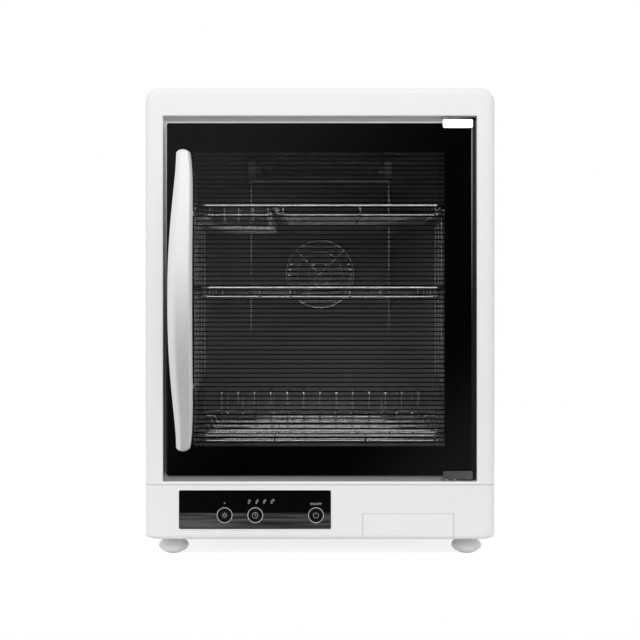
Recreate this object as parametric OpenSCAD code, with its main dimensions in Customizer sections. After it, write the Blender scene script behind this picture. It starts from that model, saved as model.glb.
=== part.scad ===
// Dish sterilizer cabinet: a counter-top cabinet with a hinged glass door, three wire racks, a cutlery
// basket, an ultraviolet lamp, a warm-air fan and a pull-out drip tray.
// The origin is on the floor under the middle of the cabinet. The door faces -Y and +Z is up.

/* [Cabinet] */
// Width over the front frame
body_w = 475; // [450:1:540]
// Height of the body without its feet
body_h = 614; // [600:1:680]
// Depth from the front frame to the rear cover
body_d = 400; // [385:1:450]
// Height of the feet under the body
foot_h = 26; // [24:1:40]
// Radius of the two upper corners, seen from the front
corner_r = 19; // [12:1:24]
// Radius of the two lower corners, seen from the front
base_corner_r = 8; // [5:0.5:12]
// Rounding of the front's outer edge
edge_r = 8; // [5:0.5:10]
// Thickness of the painted steel sheets
sheet_t = 1.2; // [0.8:0.1:2]
// Thickness of the base pan
pan_t = 2.5; // [1.5:0.1:3]
// How far the sheets lie inside the outline of the front frame
sheet_inset = 0.6; // [0.3:0.1:1.5]

/* [Front frame] */
// Depth of the moulded front frame and of the lower front
frame_d = 30; // [26:1:40]
// Wall of the front mouldings
mould_t = 3; // [2:0.5:4]
// Width of each side bar of the frame
frame_side = 24.5; // [22:0.5:32]
// Height of the top bar of the frame
frame_top = 38.5; // [34:0.5:50]
// Height of the lower front under the seam
fascia_h = 75; // [71:1:87]
// Height of the sill between the seam and the door recess
sill_h = 4.4; // [4:0.2:8]
// Open seam between the frame and the lower front
seam = 0.6; // [0.4:0.1:1]
// Depth of the glass face behind the frame's face
glass_recess = 4; // [3.2:0.2:6]
// Space between the back of the glass and the ledge of the frame
ledge_gap = 6.5; // [6:0.1:8]

/* [Door] */
// Thickness of the door glass
glass_t = 5; // [4:0.5:5.5]
// Corner radius of the glass
glass_r = 3; // [2:0.5:8]
// Gap over the glass
door_gap_top = 8.5; // [8:0.1:11]
// Gap under the glass
door_gap_bottom = 6.8; // [6.4:0.1:10]
// Gap beside the glass at the handle
door_gap_latch = 4; // [2.5:0.1:6]
// Gap beside the glass at the hinges
door_gap_hinge = 5.8; // [5:0.1:7]
// Width of the black border printed round the window
border_w = 37.5; // [34:0.5:44]
// Distance from one printed stripe to the next
stripe_pitch = 6.28; // [5:0.1:9]
// Height of a printed stripe
stripe_h = 1.7; // [1:0.1:2.4]
// Thickness of the printed layer
print_t = 0.2; // [0.2:0.1:0.4]
// Distance from the hinge line to the glass edge
pivot_inset = 6; // [5:0.5:7]

/* [Hinges] */
// Width of a glass clamp
clamp_w = 40; // [32:1:48]
// Height of a glass clamp
clamp_h = 11; // [10:0.5:14]
// How far a clamp reaches over the glass
clamp_bite = 7.4; // [6:0.2:8]
// Thickness of a clamp's cheeks
clamp_t = 2; // [1.6:0.1:2.4]
// Diameter of a pivot pin
pin_d = 5; // [4:0.5:6]
// Running clearance of a pin in its bush, on the radius
pin_play = 0.05; // [0.03:0.01:0.09]
// Wall of a bush
bush_wall = 1; // [0.8:0.1:1.4]
// Thickness of a hinge bracket
bracket_t = 1.5; // [1:0.1:2]

/* [Handle] */
// Length of the grip
grip_l = 407; // [340:1:430]
// Width of the grip in the middle
grip_w = 32.7; // [28:0.5:38]
// Width of the grip near its ends
grip_end_w = 20.4; // [16:0.5:24]
// Thickness of the grip
grip_t = 9.5; // [8:0.5:12]
// How far the middle of the grip stands in front of the frame
handle_reach = 34; // [30:1:42]
// How far the ends of the grip lie behind its middle
grip_bow = 20; // [14:1:22]
// Distance between the two posts of the handle
post_span = 235; // [200:5:260]
// Diameter of a handle post
post_d = 13; // [11:0.5:15]
// Distance from the edge of the glass to the far edge of the grip
grip_inset = 38.7; // [34:0.1:42]

/* [Racks] */
// Diameter of the wire round the rim of a rack
rim_d = 4; // [3.5:0.1:4.5]
// Diameter of the cross wires
wire_d = 2.6; // [2.2:0.1:3]
// Diameter of the lengthwise wires
spine_d = 3.2; // [2.8:0.1:3.6]
// Depth from the rim to the floor of a rack
rack_drop = 14; // [12:0.5:17]
// Distance between the cross wires
wire_pitch = 19.8; // [18:0.2:24]
// Width of the flange between the rim and the floor of a rack
rack_flange = 17.5; // [14:0.5:20]
// Height of the bottom rack's rim over the liner's floor
bottom_rack_up = 44.5; // [42:0.5:60]
// Height of the middle rack's rim over the bottom rack's
middle_rack_up = 202; // [190:1:210]
// Height of the top rack's rim over the middle rack's
top_rack_up = 114.5; // [105:0.5:120]
// Distance from one plate hoop to the next
plate_pitch = 25; // [23:0.5:25]
// Number of plate hoops
plate_hoops = 13; // [7:2:13]
// Height of the plate hoops
plate_hoop_h = 58; // [40:1:80]
// Width of the cutlery basket
basket_w = 104; // [90:1:118]
// Height of the cutlery basket's mesh
basket_h = 18; // [14:1:24]
// Diameter of the basket's wires
basket_wire_d = 2.2; // [1.8:0.1:2.6]

/* [Inside] */
// Thickness of the stainless liner
liner_t = 1; // [0.6:0.1:1.2]
// Space between the liner and the rear cover
rear_space = 40; // [38:1:50]
// How far the rear cover lies inside the rear edge
rear_lip = 4; // [3.4:0.2:8]
// Width of the door seal
seal_w = 6; // [5:0.5:7]
// Diameter of the ultraviolet lamp
lamp_d = 16; // [12:1:18]
// Length of the ultraviolet lamp between its holders
lamp_l = 212; // [180:1:230]
// Outer size of the square fan housing
fan_size = 120; // [100:1:120]
// Thickness of the fan
fan_t = 25; // [22:1:28]
// Height of the fan's middle over the rim of the middle rack
fan_up = 22.3; // [18:0.1:26]
// Number of fan blades
fan_blades = 7; // [5:1:9]

/* [Controls] */
// Width of the control panel
panel_w = 206; // [196:1:220]
// Height of the control panel
panel_h = 52.5; // [48:0.5:54]
// Height of the control panel's middle over the underside of the body
panel_up = 41.4; // [40:0.2:46]
// Distance of the control panel's middle to the left of the cabinet's
panel_left = 88.2; // [80:0.2:100]
// Diameter of a button cap
button_d = 18.8; // [16:0.2:20]
// Travel of a button
button_travel = 1; // [0.6:0.1:1.2]
// Distance of the buttons' middles under the panel's middle
button_down = 7.6; // [7:0.1:10]
// Distance of the lamp button to the left of the panel's middle
uv_button_left = 41.2; // [30:0.1:60]
// Distance of the timer button to the right of the panel's middle
timer_button_right = 0.4; // [-6:0.1:16]
// Distance of the power button to the right of the panel's middle
power_button_right = 82.7; // [70:0.1:88]
// Height of the lights over the buttons
light_up = 16.4; // [15:0.1:18]

/* [Drip tray] */
// Width of the tray's front
tray_w = 123; // [105:1:128]
// Height of the tray's front
tray_h = 35.5; // [31:0.5:39]
// Distance of the tray's middle to the right of the cabinet's
tray_right = 119.8; // [112:0.2:124]
// Length of the tray
tray_l = 212; // [180:1:240]
// Diameter of a foot
foot_d = 41.5; // [34:0.5:46]
// Diameter of the hole in the cord bushing
cord_d = 8; // [7:0.5:9]

/* [Hidden] */
$fn = 48;

// Colours
white = [0.93, 0.93, 0.92];
steel = [0.72, 0.73, 0.74];
chrome = [0.85, 0.86, 0.88];
black = [0.03, 0.03, 0.03];
silicone = [0.6, 0.6, 0.6];

// Fits
touch = 0.05;     // gap between pieces that rest on each other
weld = 0.2;       // how deep two welded wires sink into each other
screw_d = 3.6;    // thread of the cover screws
handle_screw_d = 4;
free = 0.3;       // gap beside a piece that moves
slack = 1;        // extra length of a cutting tool

// Outline of the body
x_out = body_w / 2;
z_base = foot_h;
z_top = foot_h + body_h;
z_seam = z_base + fascia_h;
y_front = handle_reach - (body_d + handle_reach) / 2;
y_back = y_front + body_d;
y_frame = y_front + frame_d;
y_cover = y_back - rear_lip;
x_sheet = x_out - sheet_inset;
z_pan = z_base + sheet_inset + pan_t;

// Door recess
x_open = x_out - frame_side;
z_open0 = z_seam + sill_h;
z_open1 = z_top - frame_top;
y_glass = y_front + glass_recess;
y_glass_back = y_glass + glass_t;
y_print_back = y_glass_back + print_t;
y_ledge = y_glass_back + ledge_gap;
y_liner = y_ledge + mould_t;
x_latch = -x_open + door_gap_latch;
x_hinge = x_open - door_gap_hinge;
z_glass0 = z_open0 + door_gap_bottom;
z_glass1 = z_open1 - door_gap_top;
pivot_x = x_hinge - pivot_inset;
pivot_y = y_glass + glass_t / 2;
web_h = clamp_h - clamp_bite;
clamp_y0 = y_glass - touch - clamp_t;
clamp_y1 = y_print_back + 2 * touch + clamp_t;

// Cavity
heel_room = 7.3;      // from the hinge line to the door seal
seal_gap_low = 1.9;   // from the lower clamp to the door seal
seal_gap_high = 2.1;  // from the upper clamp to the door seal
seal_lip = 0.5;       // from the door seal to the mouth of the cavity
liner_step = 6;       // how far the liner lies outside the mouth
seal_out_x = pivot_x - heel_room;
mouth_x = seal_out_x - seal_w - seal_lip;
z_seal0 = z_glass0 + clamp_bite + seal_gap_low;
z_seal1 = z_glass1 - clamp_bite - seal_gap_high;
z_mouth0 = z_seal0 + seal_w + seal_lip;
z_mouth1 = z_seal1 - seal_w - seal_lip;
liner_x = mouth_x + liner_step + 0.5;
liner_z0 = z_mouth0 - liner_step;
liner_z1 = z_mouth1 + liner_step;
y_rear = y_cover - sheet_t - rear_space - liner_t;

// Racks
rim_bend = 7;      // bends of the wires, to the middle of the wire
wire_bend = 4;
spine_bend = 5;
basket_bend = 3.5;
plate_bend = 10;
plate_wire_d = 3;
basket_side = 9;   // from the rim of the top rack to the basket
basket_gap = 4;    // from the basket to the rim beside it
basket_drop = 8;   // from the rim of the top rack to the basket's upper ring
inner_rim_drop = 1;
inner_rim_gap = 8; // from the inner rim of the top rack to the left edge of its floor
wire_lap = 1;      // how far a wire's end passes the middle of the wire that it is welded to
rim_x = mouth_x - 1.5 - rim_d / 2;
rail_d = rim_d;
rail_x = rim_x + rim_d / 2;
rail_below = sqrt(pow(rim_d + free, 2) - pow(rim_d / 2, 2));
post_wire_d = 3;
frame_x = rail_x + (rail_d + post_wire_d) / 2 - weld;
guard_y = y_rear - 5;
rack_y0 = y_liner + 26;
rack_y1 = guard_y - rim_d - 2;
rim_bottom = liner_z0 + bottom_rack_up;
rim_middle = rim_bottom + middle_rack_up;
rim_top = rim_middle + top_rack_up;
floor_x = rim_x - rack_flange;

// Feet
foot_in_x = 33;    // from the side of the body to the middle of a foot
foot_in_y = 51;    // from the front and the rear of the body to the middle of a foot
foot_neck_d = 24;
foot_stud_d = 5.8;
foot_stud_h = 9;   // how far the stud stands in the base pan

// Handle
grip_z = (z_glass0 + z_glass1) / 2 - 1.1;
grip_right = x_latch + grip_inset;
grip_lean = 4.2;   // how far the ends of the grip's right edge lie to the left of its middle
post_inset = 1.5;  // from the right edge of the grip's middle to the posts
post_x = grip_right - post_inset - post_d / 2;
post_u = post_span / grip_l;

// Fan
fan_z = rim_middle + fan_up;
fan_y1 = y_cover - sheet_t - 0.8;
fan_y0 = fan_y1 - fan_t;
fan_bore = fan_size - 4;
fan_pitch = 0.875 * fan_size;
hub_d = 40;
shaft_d = 3;

// Lamp
lamp_y = y_rear - 16;
lamp_z = liner_z1 - 20;
cap_l = 9;         // length of a lamp cap
holder_t = 11;     // thickness of a lamp holder

// Controls
panel_x = -panel_left;
panel_z = z_base + panel_up;
panel_t = 2.5;
panel_recess = 0.8;
panel_rim = 0.5;     // how far the rim round the panel stands in front of the fascia
panel_rim_w = 2;     // width of that rim
lip_w = 3;           // how far the lip reaches behind the panel
lip_t = 2;
y_panel = y_front + panel_recess;
y_lip = y_panel + panel_t + touch;
button_z = panel_z - button_down;
button_x = [panel_x - uv_button_left, panel_x + timer_button_right, panel_x + power_button_right];
board_y = y_panel + 14;
board_t = 1.6;
board_margin = 4.5;                // from the edge of the panel to the edge of the board
board_post_x = panel_w / 2 - 9;    // posts that carry the board
board_post_d = 3.3;
switch_w = 6;
switch_t = 2.6;
supply_w = 90;                     // power supply
supply_l = 54;
supply_h = 27;
supply_left = 46;                  // from the side of the body to the supply
supply_rear = 22;                  // from the rear cover to the supply

// Drip tray
tray_gap = 0.4;
tray_wall = 2;
bin_w = tray_w - 8;
bin_z = z_pan + free;
bin_top = z_base + tray_h - 4;
drain = [tray_right, y_front + tray_l / 2];

// Cord bushing
cord_x = -x_out + 60;
cord_z = z_base + 41;

// ---------- shared shapes ----------

module block(lo, hi) {
    translate(lo) cube(hi - lo);
}

module rod(a, b, d) {
    v = b - a;
    translate(a)
        rotate([0, acos(v[2] / norm(v)), atan2(v[1], v[0])])
            cylinder(d = d, h = norm(v));
}

// A flat shape drawn in X and Z, from y0 back to y1
module upright(y0, y1) {
    translate([0, y1, 0])
        rotate([90, 0, 0])
            linear_extrude(y1 - y0) children();
}

// A cylinder along Y
module rod_y(x, z, y0, y1, d) {
    translate([x, y0, z]) rotate([-90, 0, 0]) cylinder(d = d, h = y1 - y0);
}

function unit(v) = v / norm(v);

// A round wire along a path of square corners, each bent to a radius. A closed wire ends where it starts.
// Its points are kept to a hundredth of a millimetre, so that legs and bends meet face to face
module wire(path, d, bend, closed = false) {
    p = [for (q = path) [for (c = q) round(100 * c) / 100]];
    n = len(p);
    for (i = [0:closed ? n - 1 : n - 2]) {
        a = p[i];
        b = p[(i + 1) % n];
        rod(closed || i > 0 ? a + bend * unit(b - a) : a,
            closed || i < n - 2 ? b - bend * unit(b - a) : b, d);
    }
    for (i = [closed ? 0 : 1:closed ? n - 1 : n - 2]) {
        before = unit(p[(i + n - 1) % n] - p[i]);
        after = unit(p[(i + 1) % n] - p[i]);
        centre = p[i] + bend * (before + after);
        normal = cross(after, before);
        multmatrix([for (k = [0:2]) [-after[k], -before[k], normal[k], centre[k]]])
            rotate_extrude(angle = 90) translate([bend, 0]) circle(d = d);
    }
}

// Rectangle with its own radius on the lower and the upper corners
module outline(x0, z0, x1, z1, r_low, r_high) {
    translate([x0, z0 + r_low]) square([x1 - x0, z1 - z0 - r_low - r_high]);
    translate([x0 + r_low, z0]) square([x1 - x0 - 2 * r_low, r_low + r_high]);
    translate([x0 + r_high, z1 - r_high - r_low]) square([x1 - x0 - 2 * r_high, r_high + r_low]);
    for (x = [x0 + r_low, x1 - r_low]) translate([x, z0 + r_low]) circle(r = r_low);
    for (x = [x0 + r_high, x1 - r_high]) translate([x, z1 - r_high]) circle(r = r_high);
}

module body_outline(inset) {
    outline(-x_out + inset, z_base + inset, x_out - inset, z_top - inset,
        base_corner_r - inset, corner_r - inset);
}

// A sheet bent to the body's outline
module skin(inset, thick) {
    difference() {
        body_outline(inset);
        outline(-x_out + inset + thick, z_base + inset + thick, x_out - inset - thick,
            z_top - inset - thick, base_corner_r - inset - thick, corner_r - inset - thick);
    }
}

// The moulded front of the body with its rounded outer edge
module front_mass() {
    hull() {
        for (a = [0:15:75])
            front_slice(edge_r * (1 - sin(a)), edge_r * (1 - cos(a)), 0.01);
        front_slice(0, edge_r, frame_d - edge_r);
    }
}

module front_slice(inset, depth, thick) {
    upright(y_front + depth, y_front + depth + thick)
        outline(-x_out + inset, z_base + inset, x_out - inset, z_top - inset,
            max(base_corner_r - inset, 1), corner_r - inset, $fn = 32);
}

// ---------- casing ----------

module front_frame() {
    color(white)
    difference() {
        intersection() {
            front_mass();
            block([-x_out - slack, y_front - slack, z_seam + seam / 2],
                [x_out + slack, y_frame + slack, z_top + slack]);
        }
        // Recess of the door, and the mouth of the cavity behind it
        block([-x_open, y_front - slack, z_open0], [x_open, y_ledge, z_open1]);
        block([-mouth_x, y_front, z_mouth0], [mouth_x, y_frame + slack, z_mouth1]);
        // Hollow back of the moulding
        block([-x_out + mould_t + edge_r / 2, y_liner, z_seam + mould_t],
            [-liner_x - liner_t - touch, y_frame + slack, z_top - corner_r]);
        block([liner_x + liner_t + touch, y_liner, z_seam + mould_t],
            [x_out - mould_t - edge_r / 2, y_frame + slack, z_top - corner_r]);
        block([-x_out + corner_r, y_liner, liner_z1 + liner_t + touch],
            [x_out - corner_r, y_frame + slack, z_top - mould_t - edge_r / 2]);
        block([-liner_x - liner_t - touch, y_liner, z_seam + mould_t],
            [liner_x + liner_t + touch, y_frame + slack, liner_z1 + liner_t + touch]);
        // Room for the ends of the hinge pins
        for (z = [z_open0 - 2.5, z_open1 - slack])
            translate([pivot_x, pivot_y, z]) cylinder(d = pin_d + 4, h = 2.5 + slack);
    }
}

module base_fascia() {
    color(white)
    difference() {
        union() {
            difference() {
                intersection() {
                    front_mass();
                    block([-x_out - slack, y_front - slack, z_base - slack],
                        [x_out + slack, y_frame + slack, z_seam - seam / 2]);
                }
                // Hollow back
                block([-x_out + mould_t + edge_r / 2, y_front + mould_t, z_pan],
                    [x_out - mould_t - edge_r / 2, y_frame + slack, z_seam - seam / 2 - mould_t]);
            }
            // Raised rim round the control panel, and the pocket behind it that holds the panel
            upright(y_front - panel_rim, y_lip + lip_t) panel_outline(panel_rim_w, 3.5);
        }
        upright(y_front - panel_rim - slack, y_lip) panel_outline(touch, 2);
        upright(y_lip - slack, y_lip + lip_t + slack) panel_outline(-lip_w, 1);
        // Bay of the drip tray
        block([tray_right - tray_w / 2 - tray_gap, y_front - slack, z_base - slack],
            [tray_right + tray_w / 2 + tray_gap, y_frame + slack, z_base + tray_h + tray_gap]);
    }
}

// Outline of the control panel, larger all round by grow
module panel_outline(grow, r) {
    outline(panel_x - panel_w / 2 - grow, panel_z - panel_h / 2 - grow,
        panel_x + panel_w / 2 + grow, panel_z + panel_h / 2 + grow, r, r);
}

module base_pan() {
    foot_hole_d = foot_stud_d + 2 * free;
    color(white)
    difference() {
        union() {
            upright(y_frame + touch, y_back)
                intersection() {
                    skin(sheet_inset, pan_t);
                    translate([-x_out, z_base]) square([body_w, fascia_h - touch]);
                }
            upright(y_cover - pan_t, y_cover)
                intersection() {
                    body_outline(sheet_inset);
                    translate([-x_out, z_base]) square([body_w, fascia_h - touch]);
                }
        }
        for (p = foot_places())
            translate([p[0], p[1], z_base - slack]) cylinder(d = foot_hole_d, h = z_pan - z_base + 2 * slack);
        // Air slots in the floor
        for (i = [0:7])
            block([panel_x + 10, y_cover - 60 - 14 * i, z_base - slack],
                [panel_x + 110, y_cover - 55 - 14 * i, z_pan + slack]);
        rod_y(cord_x, cord_z, y_cover - pan_t - slack, y_cover + slack, cord_d + 6);
    }
}

// A sheet with a flange at the rear that takes the screws of the rear cover
module side_panel(s) {
    z_hi = z_top - corner_r - 12;
    y_flange = y_cover - sheet_t - touch;
    color(white)
    difference() {
        union() {
            side_block(s, x_sheet - sheet_t, x_sheet, y_frame + touch, y_back, z_hi);
            side_block(s, x_sheet - sheet_t - 18, x_sheet, y_flange - sheet_t, y_flange, z_hi);
        }
        for (p = rear_screw_places())
            rod_y(p[0], p[1], y_flange - sheet_t - slack, y_flange + slack, screw_d + 2 * touch);
        for (i = [0:6])
            block([s * x_out - 3, y_back - 110, z_seam + 30 + 11 * i],
                [s * x_out + 3, y_back - 40, z_seam + 34 + 11 * i]);
    }
}

module side_block(s, xa, xb, y0, y1, z_hi) {
    block([s > 0 ? xa : -xb, y0, z_seam + touch], [s > 0 ? xb : -xa, y1, z_hi]);
}

module top_cover() {
    color(white)
    upright(y_frame + touch, y_back)
        intersection() {
            skin(sheet_inset, sheet_t);
            translate([-x_out, z_top - corner_r - 12 + free]) square([body_w, corner_r + 12]);
        }
}

function rear_screw_places() =
    [for (x = [-1, 1], z = [z_seam + 14, (z_seam + z_top) / 2, z_top - corner_r - 26])
        [x * (x_sheet - sheet_t - 9), z]];

module rear_cover() {
    slot_h = 4;
    color([0.8, 0.8, 0.8])
    difference() {
        upright(y_cover - sheet_t, y_cover)
            intersection() {
                body_outline(sheet_inset + sheet_t + touch);
                translate([-x_out, z_seam + touch]) square([body_w, body_h]);
            }
        for (p = rear_screw_places())
            rod_y(p[0], p[1], y_cover - sheet_t - slack, y_cover + slack, screw_d + 0.4);
        // Air intake: slots inside a circle as wide as the fan
        for (i = [-6:6]) {
            half = sqrt(pow(fan_bore / 2 - 3, 2) - pow(8 * i, 2));
            block([-half, y_cover - sheet_t - slack, fan_z + 8 * i - slot_h / 2],
                [half, y_cover + slack, fan_z + 8 * i + slot_h / 2]);
        }
        for (x = [-1, 1], i = [0:6])
            block([x * 110 - 45, y_cover - sheet_t - slack, z_seam + 30 + 12 * i],
                [x * 110 + 45, y_cover + slack, z_seam + 34 + 12 * i]);
    }
}

module rear_screws() {
    color(steel)
    for (p = rear_screw_places()) {
        difference() {
            rod_y(p[0], p[1], y_cover + touch, y_cover + 2.2, 2 * screw_d);
            block([p[0] - 2.6, y_cover + 1.4, p[1] - 0.5], [p[0] + 2.6, y_cover + 3, p[1] + 0.5]);
            block([p[0] - 0.5, y_cover + 1.4, p[1] - 2.6], [p[0] + 0.5, y_cover + 3, p[1] + 2.6]);
        }
        rod_y(p[0], p[1], y_cover - 8, y_cover + 0.5, screw_d);
    }
}

function foot_places() =
    [for (y = [y_front + foot_in_y, y_back - foot_in_y], x = [-1, 1]) [x * (x_out - foot_in_x), y]];

// A bun with an elliptic side and a flat sole, on a neck whose stud stands in the base pan
module foot(i) {
    p = foot_places()[i];
    bun_z = 0.37 * foot_h;   // height of its widest ring
    sole_angle = 70;         // angle on the ellipse at which the sole and the top cut it off
    color(white)
    translate([p[0], p[1], 0])
        rotate_extrude()
            union() {
                polygon(concat([[0, 0]],
                    [for (a = [-sole_angle:sole_angle / 5:sole_angle])
                        [foot_d / 2 * cos(a), bun_z * (1 + sin(a) / sin(sole_angle))]],
                    [[0, 2 * bun_z]]));
                square([foot_neck_d / 2, foot_h - touch]);
                square([foot_stud_d / 2, foot_h + foot_stud_h]);
            }
}

// ---------- liner ----------

module liner_side(s) {
    color(steel)
    block([s > 0 ? liner_x : -liner_x - liner_t, y_liner, liner_z0 - liner_t],
        [s > 0 ? liner_x + liner_t : -liner_x, y_rear + liner_t, liner_z1 + liner_t]);
}

module liner_top() {
    color(steel)
    block([-liner_x, y_liner, liner_z1], [liner_x, y_rear, liner_z1 + liner_t]);
}

module liner_floor() {
    color(steel)
    difference() {
        block([-liner_x, y_liner, liner_z0 - liner_t], [liner_x, y_rear, liner_z0]);
        translate([drain[0], drain[1], liner_z0 - liner_t - slack]) cylinder(d = 16, h = 4 * slack);
    }
}

module liner_rear() {
    steam_pitch = 44;
    steam_w = 34;
    color(steel)
    difference() {
        block([-liner_x, y_rear, liner_z0 - liner_t], [liner_x, y_rear + liner_t, liner_z1 + liner_t]);
        // Warm-air outlet: slots inside a circle
        for (i = [-5:5]) {
            half = sqrt(pow(fan_bore / 2 - 6, 2) - pow(9 * i, 2));
            block([-half, y_rear - slack, fan_z + 9 * i - 2],
                [half, y_rear + 2 * slack, fan_z + 9 * i + 2]);
        }
        // Steam outlets over the lamp
        for (i = [-3:3])
            block([i * steam_pitch - steam_w / 2, y_rear - slack, liner_z1 - 9],
                [i * steam_pitch + steam_w / 2, y_rear + 2 * slack, liner_z1 - 5]);
    }
}

module drain_funnel() {
    spout_z = z_base + tray_h + 3;
    color(white)
    translate([drain[0], drain[1], 0])
        difference() {
            union() {
                translate([0, 0, liner_z0 - liner_t - touch - 2]) cylinder(d = 44, h = 2);
                translate([0, 0, spout_z]) cylinder(d = 20, h = liner_z0 - liner_t - spout_z - 1);
            }
            translate([0, 0, spout_z - slack]) cylinder(d = 16, h = liner_z0 - spout_z + slack);
        }
}

module door_gasket() {
    color(silicone)
    upright(y_print_back + free, y_ledge - touch)
        difference() {
            outline(-seal_out_x, z_seal0, seal_out_x, z_seal1, 8, 8);
            outline(-seal_out_x + seal_w, z_seal0 + seal_w, seal_out_x - seal_w, z_seal1 - seal_w, 3, 3);
        }
}

// ---------- hinges and catch ----------

// s is 1 at the top and -1 at the bottom; z is the face of the recess that carries the bracket
module hinge_bracket(s) {
    z = s > 0 ? z_open1 : z_open0;
    z_lo = s > 0 ? z - touch - bracket_t : z + touch;
    color(chrome)
    difference() {
        block([pivot_x - 36, pivot_y - 4.5, z_lo], [pivot_x + 7, y_ledge - touch, z_lo + bracket_t]);
        translate([pivot_x, pivot_y, z_lo - slack])
            cylinder(d = pin_d + 2 * pin_play + 2 * bush_wall + 0.1, h = bracket_t + 2 * slack);
        for (p = bracket_holes())
            translate([p[0], p[1], z_lo - slack]) cylinder(d = 3.2, h = bracket_t + 2 * slack);
    }
}

function bracket_holes() = [for (i = [0, 1]) [pivot_x - 29 + 11 * i, pivot_y + 1]];

module hinge_bushes() {
    bore = pin_d + 2 * pin_play;
    collar_d = bore + 2 * bush_wall + 2.4;
    color(black)
    for (s = [-1, 1]) {
        z = s > 0 ? z_open1 - touch : z_open0 + touch;
        clamp_z = s > 0 ? z_glass1 + web_h : z_glass0 - web_h;
        difference() {
            union() {
                bush_part(min(z, z - s * bracket_t), max(z, z - s * bracket_t), bore + 2 * bush_wall);
                bush_part(min(z - s * (bracket_t + touch), clamp_z + s * free),
                    max(z - s * (bracket_t + touch), clamp_z + s * free), collar_d);
                bush_part(min(z, z - s * (bracket_t + 0.5)), max(z, z - s * (bracket_t + 0.5)),
                    bore + 2 * bush_wall);
            }
            bush_part(min(z, clamp_z) - slack, max(z, clamp_z) + slack, bore);
        }
    }
}

module bush_part(z0, z1, d) {
    translate([pivot_x, pivot_y, z0]) cylinder(d = d, h = z1 - z0);
}

module bracket_screws() {
    color(steel)
    for (s = [-1, 1], p = bracket_holes()) {
        z = s > 0 ? z_open1 - 2 * touch - bracket_t : z_open0 + 2 * touch + bracket_t;
        translate([p[0], p[1], min(z, z - s * 1.2)]) cylinder(d = 5.6, h = 1.2);
    }
}

module hinge_clamp(s) {
    z_far = s > 0 ? z_glass1 + web_h : z_glass0 - web_h;
    z_near = s > 0 ? z_glass1 - clamp_bite : z_glass0 + clamp_bite;
    r_low = s > 0 ? 2.5 : 0.8;
    r_high = s > 0 ? 0.8 : 2.5;
    z_edge = s > 0 ? z_glass1 + touch : z_glass0 - touch;
    color(chrome)
    difference() {
        upright(clamp_y0, clamp_y1)
            outline(x_hinge - clamp_w, min(z_far, z_near), x_hinge, max(z_far, z_near), r_low, r_high);
        block([x_hinge - clamp_w - slack, y_glass - touch, min(z_edge, z_near - s * slack)],
            [x_hinge + slack, y_print_back + 2 * touch, max(z_edge, z_near - s * slack)]);
        translate([pivot_x, pivot_y, min(z_far, z_edge) - slack])
            cylinder(d = pin_d + 2 * touch, h = web_h + 2 * slack);
    }
}

module hinge_pins() {
    color(steel)
    for (s = [-1, 1]) {
        z_in = s > 0 ? z_glass1 + 2 * touch : z_glass0 - 2 * touch;
        z_tip = s > 0 ? z_open1 + 1 : z_open0 - 1;
        translate([pivot_x, pivot_y, min(z_in, z_tip)]) cylinder(d = pin_d, h = abs(z_tip - z_in));
    }
}

module catch_magnet() {
    color(black)
    block([x_latch + 1, y_print_back + 1.2 + free, grip_z - 20],
        [-seal_out_x - 1, y_ledge - touch, grip_z + 20]);
}

module strike_plate() {
    color(steel)
    block([x_latch + 1, y_print_back + touch, grip_z - 16],
        [-seal_out_x - 1, y_print_back + 1.2, grip_z + 16]);
}

// ---------- door ----------

module door_glass() {
    color([0.1, 0.1, 0.1, 0.4])
    difference() {
        upright(y_glass, y_glass_back)
            outline(x_latch, z_glass0, x_hinge, z_glass1, glass_r, glass_r);
        for (s = [-1, 1])
            rod_y(post_x, grip_z + s * post_span / 2, y_glass - slack, y_glass_back + slack,
                handle_screw_d + 2);
    }
}

module glass_print() {
    win_x0 = x_latch + border_w;
    win_x1 = x_hinge - border_w;
    win_z0 = z_glass0 + border_w;
    win_z1 = z_glass1 - border_w;
    bands = floor((win_z1 - win_z0 + stripe_h) / stripe_pitch);
    first = (win_z1 + win_z0 - bands * stripe_pitch + stripe_h) / 2;
    color(black)
    difference() {
        upright(y_glass_back, y_print_back)
            outline(x_latch, z_glass0, x_hinge, z_glass1, glass_r, glass_r);
        for (i = [0:bands - 1])
            block([win_x0, y_glass_back - slack, first + i * stripe_pitch],
                [win_x1, y_print_back + slack, first + (i + 1) * stripe_pitch - stripe_h]);
        for (s = [-1, 1])
            rod_y(post_x, grip_z + s * post_span / 2, y_glass_back - slack, y_print_back + slack,
                handle_screw_d + 2);
    }
}

// Width, thickness and place of the grip at u, which runs from -1 at the lower end to 1 at the upper
function end_round(u) = sqrt(max(0.02, 1 - pow(max(0, abs(u) - 0.975) / 0.025, 2)));
function grip_width(u) = (grip_w - (grip_w - grip_end_w) * pow(abs(u), 1.8)) * end_round(u);
function grip_depth(u) = grip_t * (1 - 0.2 * u * u) * end_round(u);
function grip_edge(u) = grip_right - grip_lean * u * u - (1 - end_round(u)) * grip_end_w / 2;
function grip_face(u) = y_front - handle_reach + grip_bow * u * u;
function squircle(c) = sign(c) * pow(abs(c), 0.7);

module handle_grip() {
    rings = 32;
    sides = 20;
    points = [for (i = [0:rings]) let (t = 1 - 2 * i / rings, u = sign(t) * (1 - pow(1 - abs(t), 1.35)))
        for (k = [0:sides - 1]) let (a = 360 * k / sides)
            [grip_edge(u) - grip_width(u) / 2 + grip_width(u) / 2 * squircle(cos(a)),
             grip_face(u) + grip_t / 2 + grip_depth(u) / 2 * squircle(sin(a)),
             grip_z + u * grip_l / 2]];
    walls = [for (i = [0:rings - 1], k = [0:sides - 1])
        let (a = i * sides + k, b = i * sides + (k + 1) % sides)
            each [[a, b, b + sides], [a, b + sides, a + sides]]];
    color([0.86, 0.86, 0.87])
        polyhedron(points = points, faces = concat(walls,
            [[for (k = [sides - 1:-1:0]) k]], [[for (k = [0:sides - 1]) rings * sides + k]]));
}

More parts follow.
